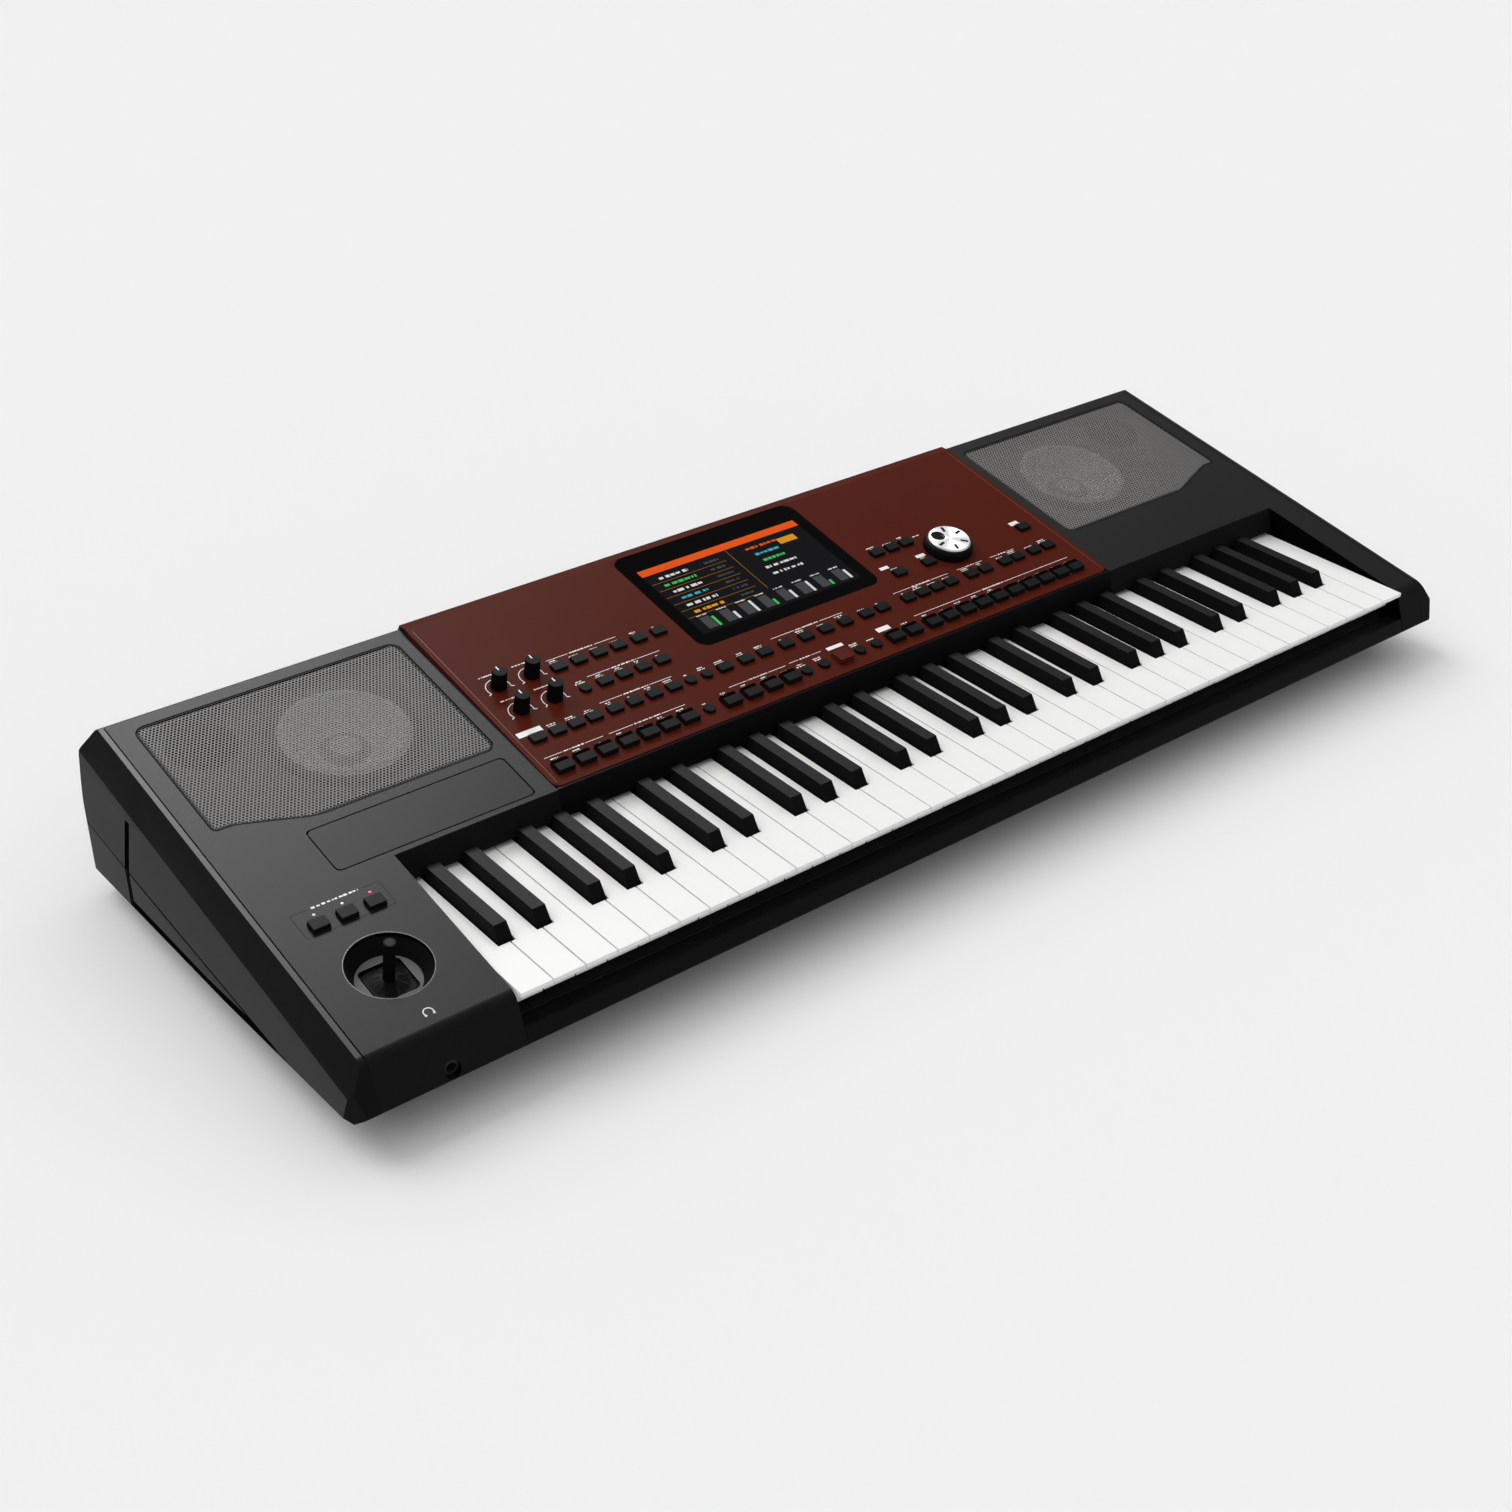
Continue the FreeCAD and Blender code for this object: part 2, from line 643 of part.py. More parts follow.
def leg_places():
    """Where the key chassis stands on the tray."""
    width = SLOT_RIGHT - SLOT_LEFT
    middle = (SLOT_RIGHT + SLOT_LEFT) / 2
    rows = (KEY_FRONT_Y + LEG_FRONT_BACK, PIVOT_Y - LEG_REAR_BEFORE_PIVOT)
    return [(middle + share * width, y) for y in rows for share in LEG_SHARES]


def screw_places():
    """Every screw through the tray's floor."""
    left, right = pillar_places()
    return left + right + leg_places()


def board_posts(x, y, width, depth):
    """Corner places under a board."""
    half_w, half_d = width / 2 - BOARD_POST_IN, depth / 2 - BOARD_POST_IN
    return [(x + sx * half_w, y + sy * half_d) for sx in (-1, 1) for sy in (-1, 1)]


def bottom_case(shell):
    """The tray that carries everything: floor, low walls and board posts."""
    tray = shell.common(side_of_seam(False))
    places = board_posts(MAIN_BOARD_X, MAIN_BOARD_Y, MAIN_BOARD_W, MAIN_BOARD_D)
    height = MAIN_BOARD_Z - FOOT_H
    posts = [Part.makeCylinder(BOARD_POST_R, height, V(x, y, FOOT_H)) for x, y in places]
    tray = joined([tray] + posts)
    cuts = [groove_band()]
    for x, y in screw_places():
        cuts.append(Part.makeCylinder(SCREW_R + SCREW_CLEAR, WALL + OVERRUN, V(x, y, FOOT_H)))
        cuts.append(Part.makeCylinder(SCREW_HEAD_R + SCREW_CLEAR, SCREW_HEAD_T, V(x, y, FOOT_H)))
    return tray.cut(cuts)


def side_panel(shell, side):
    """A chamfered end cover that wraps round the front corner."""
    region = block(side * TRIM_X, side * (HALF_W + OVERRUN), FRONT_Y - OVERRUN, REAR_Y + OVERRUN, 0, BEYOND)
    return shell.common(side_of_seam(True)).common(region).cut(groove_band())


def grille_outline(side):
    """Plan outline of a grille: an ogee front edge that sweeps back towards the end of the keyboard."""
    rear = GRILLE_REAR_Y
    inner, outer = GRILLE_INNER_X, GRILLE_OUTER_X
    bend, flat = (inner + share * GRILLE_W for share in GRILLE_OGEE_SHARES)
    points = [(inner, GRILLE_FRONT_Y), (bend, GRILLE_FRONT_Y), (flat, GRILLE_FRONT_Y + GRILLE_OGEE_RISE),
              (outer, GRILLE_FRONT_Y + GRILLE_OGEE_RISE), (outer, rear), (inner, rear)]
    radii = [GRILLE_CORNER_R, GRILLE_OGEE_R, GRILLE_OGEE_R / 2, GRILLE_CORNER_R / 2, GRILLE_CORNER_R,
             GRILLE_CORNER_R]
    if side < 0:
        return [(-x, y) for x, y in points[::-1]], radii[::-1]
    return points, radii


def grille(side):
    """The perforated sheet over a speaker, drawn plain."""
    points, radii = grille_outline(side)
    return sheet(points, radii, DECK, -GRILLE_DROP - GRILLE_T, -GRILLE_DROP)


def fascia_wall(x0, x1):
    """The leaning wall behind the keys."""
    top = DECK.z(FASCIA_Y)
    points = [(FASCIA_FOOT_Y, FASCIA_FOOT_Z), (FASCIA_FOOT_Y + WALL, FASCIA_FOOT_Z),
              (FASCIA_Y + WALL, top - WALL), (FASCIA_Y + WALL, DECK.z(FASCIA_Y + WALL)), (FASCIA_Y, top)]
    return prism_x(points, x0, x1)


def badge_outline(grow):
    """Plan outline of the bare plate in the left deck."""
    y = FASCIA_Y + BADGE_BEHIND_FASCIA
    half_w, half_d = BADGE_W / 2 + grow, BADGE_D / 2 + grow
    return rectangle(BADGE_X - half_w, BADGE_X + half_w, y - half_d, y + half_d)


def switch_places():
    """Plan places of the three switches beside the joystick."""
    return [(STICK_X + step * SWITCH_PITCH, SWITCH_Y) for step in (-1, 0, 1)]


def top_cover(shell, side, slot_x):
    """A deck over one speaker with the block beside the keys, its slot wall and the seat for the panel."""
    deck = block(side * TRIM_X, side * HALF_PANEL, FASCIA_Y, DECK_REAR_Y, 0, BEYOND)
    front = block(side * TRIM_X, slot_x, FRONT_Y - OVERRUN, FASCIA_Y, 0, BEYOND)
    skin = shell.common(side_of_seam(True)).common(joined([deck, front]))
    wall = block(slot_x, slot_x + side * WALL, FRONT_Y, FASCIA_Y + WALL, CHASSIS_Z, BEYOND)
    fascia_ends = sorted((slot_x + side * WALL, side * HALF_PANEL))
    pieces = [skin, case_body(0.0).common(wall), fascia_wall(*fascia_ends)]
    seat_y = (FASCIA_Y + WALL, PANEL_REAR_Y)
    edge = side * HALF_PANEL
    for out, high in ((side * WALL, None), (-side * SEAT_W, -PANEL_T)):
        x0, x1 = sorted((edge, edge + out))
        low = [(y, PANEL.over(y, -PANEL_T - WALL)) for y in seat_y]
        tops = [(y, DECK.z(y) if high is None else PANEL.over(y, high)) for y in seat_y[::-1]]
        pieces.append(prism_x(low + tops, x0, x1))
    left, right = pillar_places()
    for x, y in left if side < 0 else right:
        pieces.append(Part.makeCylinder(PILLAR_R, DECK.z(y) - WALL / 2 - FLOOR_Z, V(x, y, FLOOR_Z)))
    if side < 0:
        pieces += [DECK.seat(disc(POST_R, -SWITCH_BOARD_DROP, -WALL / 2), x, y) for x, y in switch_posts()]
    cover = joined(pieces)
    points, radii = grille_outline(side)
    cuts = [sheet(inset(points, -GRILLE_GAP), radii, DECK, -GRILLE_DROP - GRILLE_T, OVERRUN),
            sheet(inset(points, GRILLE_LEDGE), radii, DECK, -WALL - OVERRUN, OVERRUN)]
    for x, y in left if side < 0 else right:
        cuts.append(Part.makeCylinder(SCREW_R, SCREW_L, V(x, y, FLOOR_Z)))
    if side < 0:
        cuts += left_cover_cuts()
    return cover.cut(cuts)


def left_cover_cuts():
    """Openings of the left cover: joystick well, switches, badge recess and headphone hole."""
    badge_round = [BADGE_CORNER_R] * 4
    hole = tile(SWITCH_CAP_W + 2 * HOLE_CLEAR, SWITCH_CAP_D + 2 * HOLE_CLEAR, -WALL - OVERRUN, OVERRUN)
    cuts = [DECK.seat(hole, x, y) for x, y in switch_places()]
    cuts.append(DECK.seat(disc(WELL_R, -WALL - OVERRUN, OVERRUN), STICK_X, STICK_Y))
    cuts.append(sheet(badge_outline(BADGE_GROOVE), badge_round, DECK, -BADGE_T, OVERRUN))
    nose_end = FRONT_Y + KEY_SETBACK + WALL
    cuts.append(bar_y(JACK_NOSE_R, FRONT_Y - OVERRUN, nose_end + OVERRUN, STICK_X, PHONES_Z))
    return cuts


def rear_panel(shell):
    """The rear wall with its holes for the sockets, and the raised rim behind the control panel."""
    region = block(-TRIM_X, TRIM_X, DECK_REAR_Y, REAR_Y + OVERRUN, 0, BEYOND)
    wall = shell.common(side_of_seam(True)).common(region)
    top = PANEL.z(PANEL_REAR_Y)
    foot = PANEL.over(PANEL_REAR_Y, -PANEL_T - WALL)
    rim = prism_x([(PANEL_REAR_Y, foot), (DECK_REAR_Y + WALL, foot), (DECK_REAR_Y + WALL, DECK_REAR_Z - WALL),
                   (DECK_REAR_Y, top), (PANEL_REAR_Y, top)], -HALF_PANEL, HALF_PANEL)
    inner = HALF_PANEL - SEAT_W
    seat = layer(PANEL, -PANEL_T - WALL, -PANEL_T, -inner, inner, PANEL_REAR_Y - SEAT_W, PANEL_REAR_Y)
    body = joined([wall, rim, seat])
    y0, y1 = REAR_Y - WALL - OVERRUN, REAR_Y + OVERRUN
    cuts = [bar_y(JACK_NOSE_R, y0, y1, x, SOCKET_Z) for x in jack_places()]
    cuts += [bar_y(MIDI_R, y0, y1, x, SOCKET_Z) for x in midi_places()]
    cuts += [block(x - USB_W / 2, x + USB_W / 2, y0, y1, SOCKET_Z - USB_H / 2, SOCKET_Z + USB_H / 2)
             for x in usb_places()]
    inlet_x = INLET_SHARE * HALF_PANEL
    cuts.append(block(inlet_x - INLET_W / 2, inlet_x + INLET_W / 2, y0, y1,
                      SOCKET_Z - INLET_H / 2, SOCKET_Z + INLET_H / 2))
    cuts.append(bar_y(POWER_R + HOLE_CLEAR, y0, y1, POWER_SHARE * HALF_PANEL, SOCKET_Z))
    return body.cut(cuts)


def key_slip(shell):
    """The front rail under the keys' lips, with a low ridge along its top."""
    rear = KEY_FRONT_Y + LIP_OUT - RAIL_GAP
    region = block(SLOT_LEFT, SLOT_RIGHT, FRONT_Y - OVERRUN, rear, 0, RAIL_Z)
    face = shell.common(side_of_seam(True)).common(region)
    shelf = case_body(0.0).common(block(SLOT_LEFT, SLOT_RIGHT, FRONT_Y, rear, RAIL_Z - WALL, RAIL_Z))
    ridge = case_body(0.0).common(block(SLOT_LEFT, SLOT_RIGHT, FRONT_Y, KEY_FRONT_Y - RAIL_GAP, RAIL_Z - WALL,
                                        RAIL_Z + RAIL_RIDGE))
    return joined([face, shelf, ridge])


def keyslot_fascia():
    """The middle length of the wall behind the keys, with the ledge under the control panel's front."""
    seat_end = PANEL_FRONT_Y + SEAT_W
    under = [PANEL.over(y, -PANEL_T) for y in (PANEL_FRONT_Y, seat_end)]
    points = [(FASCIA_FOOT_Y, FASCIA_FOOT_Z), (FASCIA_FOOT_Y + WALL, FASCIA_FOOT_Z),
              (FASCIA_Y + WALL, under[0] - WALL), (seat_end, under[1] - WALL), (seat_end, under[1]),
              (PANEL_FRONT_Y, under[0]), (PANEL_FRONT_Y, DECK.z(PANEL_FRONT_Y)), (FASCIA_Y, DECK.z(FASCIA_Y))]
    inner = HALF_PANEL - SEAT_W
    wall = fascia_wall(-HALF_PANEL, HALF_PANEL)
    wall = wall.common(block(-HALF_PANEL, HALF_PANEL, FRONT_Y, PANEL_FRONT_Y, 0, BEYOND))
    return joined([wall, prism_x(points, -inner, inner)])


def badge_plate():
    """The bare plate let into the left deck."""
    return sheet(badge_outline(0.0), [BADGE_CORNER_R] * 4, DECK, -BADGE_T, 0.0)


def feet():
    """Four rubber feet under the tray."""
    return [Part.makeCylinder(FOOT_R, FOOT_H, V(sx * (HALF_W - FOOT_IN_X), sy * (REAR_Y - FOOT_IN_Y), 0))
            for sx in (-1, 1) for sy in (-1, 1)]


def screws():
    """Countersunk-style screws up through the tray's floor."""
    made = []
    for x, y in screw_places():
        head = Part.makeCylinder(SCREW_HEAD_R, SCREW_HEAD_T, V(x, y, FOOT_H))
        length = WALL - SCREW_HEAD_T + SCREW_L
        shank = Part.makeCylinder(SCREW_R, length, V(x, y, FOOT_H + SCREW_HEAD_T))
        drive = Part.makeCylinder(SCREW_SLOT_R, SCREW_SLOT_DEPTH, V(x, y, FOOT_H))
        made.append(joined([head, shank]).cut(drive))
    return made


# Keys

NOTES = ("c", "c_sharp", "d", "d_sharp", "e", "f", "f_sharp", "g", "g_sharp", "a", "a_sharp", "b")
SHARPS = tuple(note for note in NOTES if note.endswith("sharp"))
LOW_GROUP = NOTES[:5]
HIGH_GROUP = NOTES[5:]


def slot_middle(note):
    """Middle of a key's rear slot within the octave: each group shares its white keys' width evenly."""
    group, start, whites = (LOW_GROUP, 0, 3) if note in LOW_GROUP else (HIGH_GROUP, 3, 4)
    slot = whites * KEY_PITCH / len(group)
    return start * KEY_PITCH + (group.index(note) + 0.5) * slot


def tail_span(note, white):
    """Left and right of a white key's narrow tail, between its sharps or its own edges."""
    index = NOTES.index(note)
    left, right = white * KEY_PITCH + KEY_GAP / 2, (white + 1) * KEY_PITCH - KEY_GAP / 2
    beside = SHARP_W / 2 + SHARP_GAP
    if index > 0 and NOTES[index - 1] in SHARPS:
        left = slot_middle(NOTES[index - 1]) + beside
    if index + 1 < len(NOTES) and NOTES[index + 1] in SHARPS:
        right = slot_middle(NOTES[index + 1]) - beside
    return left, right


def key_boss(middle):
    """The block at a key's rear end and the bore for the pivot rod."""
    half = BOSS_W / 2
    body = block(middle - half, middle + half, PIVOT_Y - 2 * BOSS_R, PIVOT_Y,
                 PIVOT_Z - BOSS_R, PIVOT_Z + BOSS_R)
    end = bar_x(BOSS_R, middle - half, middle + half, PIVOT_Y, PIVOT_Z)
    bore = bar_x(PIVOT_R + PIVOT_CLEAR, middle - BOSS_W, middle + BOSS_W, PIVOT_Y, PIVOT_Z)
    return [body, end], bore


def white_key(note, white, has_sharps):
    """A hollow white key with an overhanging front lip."""
    left, right = white * KEY_PITCH + KEY_GAP / 2, (white + 1) * KEY_PITCH - KEY_GAP / 2
    tail_left, tail_right = tail_span(note, white) if has_sharps else (left, right)
    middle = (tail_left + tail_right) / 2 if has_sharps else slot_middle(note)
    tail_end = PIVOT_Y - BOSS_R - KEY_SKIN
    boss, bore = key_boss(middle)
    body = joined([block(left, right, KEY_FRONT_Y, HEAD_REAR_Y, KEY_FOOT_Z, KEY_TOP_Z),
                   block(tail_left, tail_right, HEAD_REAR_Y, tail_end, KEY_FOOT_Z, KEY_TOP_Z)] + boss)
    roof = KEY_TOP_Z - KEY_SKIN
    lip = block(left, right, KEY_FRONT_Y, KEY_FRONT_Y + LIP_OUT, KEY_FOOT_Z, KEY_TOP_Z - LIP_T)
    head_hollow = block(left + KEY_SKIN, right - KEY_SKIN, KEY_FRONT_Y + LIP_OUT + KEY_SKIN,
                        HEAD_REAR_Y - KEY_SKIN, KEY_FOOT_Z, roof)
    tail_hollow = block(tail_left + KEY_SKIN, tail_right - KEY_SKIN, HEAD_REAR_Y, tail_end - 2 * BOSS_R,
                        KEY_FOOT_Z, roof)
    return body.cut([lip, head_hollow, tail_hollow, bore])


def black_key(note):
    """A black key: a tapered top with a sloping front, on a narrow body that runs back to the pivot."""
    middle = slot_middle(note)
    top = KEY_TOP_Z + SHARP_H
    low = KEY_TOP_Z - SHARP_BODY_DROP
    front = HEAD_REAR_Y + SHARP_GAP
    side_view = prism_x([(front, low), (KEY_REAR_Y, low), (KEY_REAR_Y, top), (front + SHARP_SLOPE, top)],
                        middle - SHARP_W, middle + SHARP_W)
    half, half_top = SHARP_W / 2, SHARP_TOP_W / 2
    end_view = prism_y([(middle - half, low), (middle + half, low), (middle + half_top, top),
                        (middle - half_top, top)], front - OVERRUN, KEY_REAR_Y + OVERRUN)
    foot = KEY_FOOT_Z + SHARP_BODY_DROP
    tail_end = PIVOT_Y - BOSS_R - KEY_SKIN
    boss, bore = key_boss(middle)
    body = block(middle - half_top, middle + half_top, front, tail_end, foot, low)
    hollow = block(middle - half_top + KEY_SKIN, middle + half_top - KEY_SKIN, front + KEY_SKIN,
                   tail_end - 2 * BOSS_R, foot, low)
    return joined([side_view.common(end_view), body] + boss).cut([hollow, bore])


def key_group(note):
    """All keys of one note name, one for each octave, and the highest C as a whole key."""
    whites = [name for name in NOTES if name not in SHARPS]
    pattern = black_key(note) if note in SHARPS else white_key(note, whites.index(note), True)
    keys = []
    for octave in range(OCTAVES):
        key = pattern.copy()
        key.translate(V(KEYS_X + octave * 7 * KEY_PITCH, 0, 0))
        keys.append(key)
    if note == NOTES[0]:
        last = white_key(note, 0, False)
        last.translate(V(KEYS_X + OCTAVES * 7 * KEY_PITCH, 0, 0))
        keys.append(last)
    return keys


def ear_places():
    """Middles of the upright ears that hold the pivot rod: at both ends and between octaves."""
    inner = [KEYS_X + octave * 7 * KEY_PITCH for octave in range(1, OCTAVES + 1)]
    return [KEYS_X - EAR_T / 2] + inner + [KEYS_END_X + EAR_T / 2]


def key_chassis():
    """The pressed plate under the keys, with its stop rail, rod ears, standoffs and legs."""
    x0, x1 = KEYS_X - EAR_T, KEYS_END_X + EAR_T
    front = KEY_FRONT_Y + FELT_BACK
    rear = PIVOT_Y + BOSS_R
    low = CHASSIS_Z - CHASSIS_T
    pieces = [block(x0, x1, front, rear, low, CHASSIS_Z)]
    pieces.append(block(KEYS_X, KEYS_END_X, front, front + FELT_W, CHASSIS_Z, FELT_TOP_Z - FELT_T))
    pieces += [block(x - EAR_T / 2, x + EAR_T / 2, PIVOT_Y - BOSS_R, rear, CHASSIS_Z, PIVOT_Z + BOSS_R)
               for x in ear_places()]
    board_y = KEY_FRONT_Y + CONTACT_BOARD_BACK
    for y in (board_y, board_y + CONTACT_BOARD_W - LEG_W / 2):
        pieces.append(block(KEYS_X, KEYS_END_X, y, y + LEG_W / 2, CHASSIS_Z, CHASSIS_Z + STANDOFF_H))
    half = LEG_W / 2
    pieces += [block(x - half, x + half, y - half, y + half, FLOOR_Z, CHASSIS_Z) for x, y in leg_places()]
    bores = [bar_x(PIVOT_R, x0 - EAR_T, x1 + EAR_T, PIVOT_Y, PIVOT_Z)]
    bores += [Part.makeCylinder(SCREW_R, SCREW_L, V(x, y, FLOOR_Z)) for x, y in leg_places()]
    return joined(pieces).cut(bores)


def key_contact_board():
    """The contact board under the keys, with a rubber dome below each key."""
    x0, x1 = KEYS_X, KEYS_END_X
    y0 = KEY_FRONT_Y + CONTACT_BOARD_BACK
    z0 = CHASSIS_Z + STANDOFF_H
    board = block(x0, x1, y0, y0 + CONTACT_BOARD_W, z0, z0 + BOARD_T)
    middles = [octave * 7 * KEY_PITCH + slot_middle(note) for octave in range(OCTAVES) for note in NOTES]
    middles.append(OCTAVES * 7 * KEY_PITCH + KEY_PITCH / 2)
    y = y0 + CONTACT_BOARD_W / 2
    domes = [Part.makeCone(DOME_R, DOME_R / 2, DOME_UNDER - z0 - BOARD_T, V(x0 + x, y, z0 + BOARD_T))
             for x in middles]
    return [board] + domes


def key_stop_felt():
    """The strip that the keys land on."""
    y = KEY_FRONT_Y + FELT_BACK
    return block(KEYS_X, KEYS_END_X, y, y + FELT_W, FELT_TOP_Z - FELT_T, FELT_TOP_Z)


def key_pivot_rod():
    """The steel rod that every key turns on."""
    return bar_x(PIVOT_R, KEYS_X - EAR_T, KEYS_END_X + EAR_T, PIVOT_Y, PIVOT_Z)


# Control panel and what works through it


def row_places():
    """Plan places of every button, by group."""
    places = {name: [(x, PANEL_FRONT_Y + up) for x in row] for name, (row, up) in BUTTON_ROWS.items()}
    rounds = ((beside(ROUND_2_SHARES), ROW_2_UP), (across(ROUND_3_SHARES), ROW_3_UP),
              (across(ROUND_4_SHARES), ROW_4_UP))
    places["round"] = [(x, PANEL_FRONT_Y + up) for row, up in rounds for x in row]
    places["start"] = [(START_SHARE * HALF_PANEL, PANEL_FRONT_Y + ROW_4_UP)]
    return places


def knob_places():
    """Plan places of the four knobs, rear row first."""
    return [(x, PANEL_FRONT_Y + up) for up in (KNOB_REAR_UP, KNOB_FRONT_UP) for x in beside(KNOB_SHARES)]


def dial_place():
    """Plan place of the data dial, beyond a button of the second row and behind the third row."""
    button_x = beside((DIAL_BESIDE_SHARE,))[0]
    x = button_x + CAP_W / 2 + DIAL_FROM_BUTTON + DIAL_R
    return x, PANEL_FRONT_Y + ROW_3_UP + CAP_D / 2 + DIAL_FROM_ROW + DIAL_R


def brace_places():
    """Plan places of the posts that hold the board under the panel."""
    near, far = HALF_GLASS + BRACE_FROM_GLASS, HALF_PANEL - BRACE_FROM_EDGE
    ups = ((ROW_4_UP + ROW_3_UP) / 2, (ROW_2_UP + ROW_1_UP) / 2)
    return [(x, PANEL_FRONT_Y + up) for up in ups for x in (-far, -near, near, far)]


def stepped_cap():
    """A large button whose rear third lies lower than the rest."""
    whole = tile(STEP_CAP_W, STEP_CAP_D, -PANEL_T - UNDER_GAP, STEP_CAP_H)
    edge = STEP_CAP_D * (0.5 - STEP_SHARE)
    low = STEP_CAP_H - STEP_DROP
    return whole.cut(block(-STEP_CAP_W, STEP_CAP_W, edge, STEP_CAP_D, low, STEP_CAP_H + OVERRUN))


def button(cap, flange, plate):
    """A button: its cap, the flange that stops it under the plate and the stem over its switch."""
    top = -plate - UNDER_GAP
    stem = disc(STEM_R, top - FLANGE_T - STEM_L, top - FLANGE_T)
    return joined([cap, flange, stem])


def flange_tile(width, depth, plate):
    """A rectangular flange under a plate."""
    top = -plate - UNDER_GAP
    return tile(width + 2 * FLANGE_OUT, depth + 2 * FLANGE_OUT, top - FLANGE_T, top)


def panel_buttons():
    """The solids of every button group."""
    under = -PANEL_T - UNDER_GAP
    small = button(tile(CAP_W, CAP_D, under, CAP_H), flange_tile(CAP_W, CAP_D, PANEL_T), PANEL_T)
    stepped = button(stepped_cap(), flange_tile(STEP_CAP_W, STEP_CAP_D, PANEL_T), PANEL_T)
    round_flange = disc(ROUND_CAP_R + FLANGE_OUT, under - FLANGE_T, under)
    circular = button(disc(ROUND_CAP_R, under, ROUND_CAP_H), round_flange, PANEL_T)
    patterns = {"row_1": small, "row_2": small, "row_3": small, "row_4": stepped, "round": circular,
                "start": stepped}
    return {name: [PANEL.seat(patterns[name], x, y) for x, y in places]
            for name, places in row_places().items()}


def glass_outline(grow, rear):
    """Plan outline of the display glass, whose rear edge meets the rim."""
    half = HALF_GLASS + grow
    points = rectangle(-half, half, PANEL_FRONT_Y + GLASS_UP - grow, rear)
    return points, [GLASS_CORNER_R, GLASS_CORNER_R, 0.0, 0.0]


def control_panel():
    """The painted panel: a raised plate with a hole for every control."""
    plan = rectangle(-HALF_PANEL, HALF_PANEL, PANEL_FRONT_Y, PANEL_REAR_Y)
    plate = sheet(plan, [PANEL_CORNER_R, PANEL_CORNER_R, 0.0, 0.0], PANEL, -PANEL_T, 0.0)
    posts = [PANEL.seat(disc(BRACE_R, -BOARD_DROP, -PANEL_T / 2), x, y) for x, y in brace_places()]
    low, high = -PANEL_T - OVERRUN, OVERRUN
    small = tile(CAP_W + 2 * HOLE_CLEAR, CAP_D + 2 * HOLE_CLEAR, low, high)
    large = tile(STEP_CAP_W + 2 * HOLE_CLEAR, STEP_CAP_D + 2 * HOLE_CLEAR, low, high)
    circle = disc(ROUND_CAP_R + HOLE_CLEAR, low, high)
    holes = {"row_1": small, "row_2": small, "row_3": small, "row_4": large, "round": circle, "start": large}
    cuts = [PANEL.seat(holes[name], x, y) for name, places in row_places().items() for x, y in places]
    shaft = disc(SHAFT_R + 2 * HOLE_CLEAR, low, high)
    cuts += [PANEL.seat(shaft, x, y) for x, y in knob_places() + [dial_place()]]
    points, radii = glass_outline(GLASS_CLEAR, PANEL_REAR_Y + OVERRUN)
    cuts.append(sheet(points, radii, PANEL, low, high))
    return joined([plate] + posts).cut(cuts)


def panel_board():
    """The board under the panel with its push switches, rotary controls and shafts."""
    inner = HALF_PANEL - SEAT_W - OVERRUN
    front, rear = PANEL_FRONT_Y + SEAT_W + UNDER_GAP, PANEL_REAR_Y - SEAT_W - UNDER_GAP
    board = layer(PANEL, -BOARD_DROP - BOARD_T, -BOARD_DROP, -inner, inner, front, rear)
    pieces = [board]
    switch = tile(SWITCH_W, SWITCH_W, -BOARD_DROP, -BOARD_DROP + SWITCH_H)
    pieces += [PANEL.seat(switch, x, y) for places in row_places().values() for x, y in places]
    shaft_top = KNOB_H + KNOB_LIFT - KNOB_ROOF - UNDER_GAP
    body_top = -PANEL_T - UNDER_GAP
    pot = joined([tile(POT_W, POT_W, -BOARD_DROP, body_top), disc(SHAFT_R, body_top, shaft_top)])
    pieces += [PANEL.seat(pot, x, y) for x, y in knob_places()]
    dial_shaft = DIAL_H + KNOB_LIFT - KNOB_ROOF - UNDER_GAP
    coder = joined([tile(ENCODER_W, ENCODER_W, -BOARD_DROP, body_top), disc(SHAFT_R, body_top, dial_shaft)])
    pieces.append(PANEL.seat(coder, *dial_place()))
    return pieces


def knob():
    """A tall ribbed knob that turns on its shaft."""
    body = Part.makeCone(KNOB_R, KNOB_TOP_R, KNOB_H, V(0, 0, KNOB_LIFT))
    ribs = []
    for i in range(KNOB_RIBS):
        angle = 2 * math.pi * i / KNOB_RIBS
        foot = V(KNOB_R * math.cos(angle), KNOB_R * math.sin(angle), KNOB_LIFT)
        head = V(KNOB_TOP_R * math.cos(angle), KNOB_TOP_R * math.sin(angle), KNOB_LIFT + KNOB_H)
        ribs.append(Part.makeCylinder(KNOB_RIB_R, KNOB_H * 2, foot - (head - foot) / 2, head - foot))
    bore = disc(SHAFT_R + SHAFT_CLEAR, 0, KNOB_LIFT + KNOB_H - KNOB_ROOF)
    return body.cut(ribs + [bore])


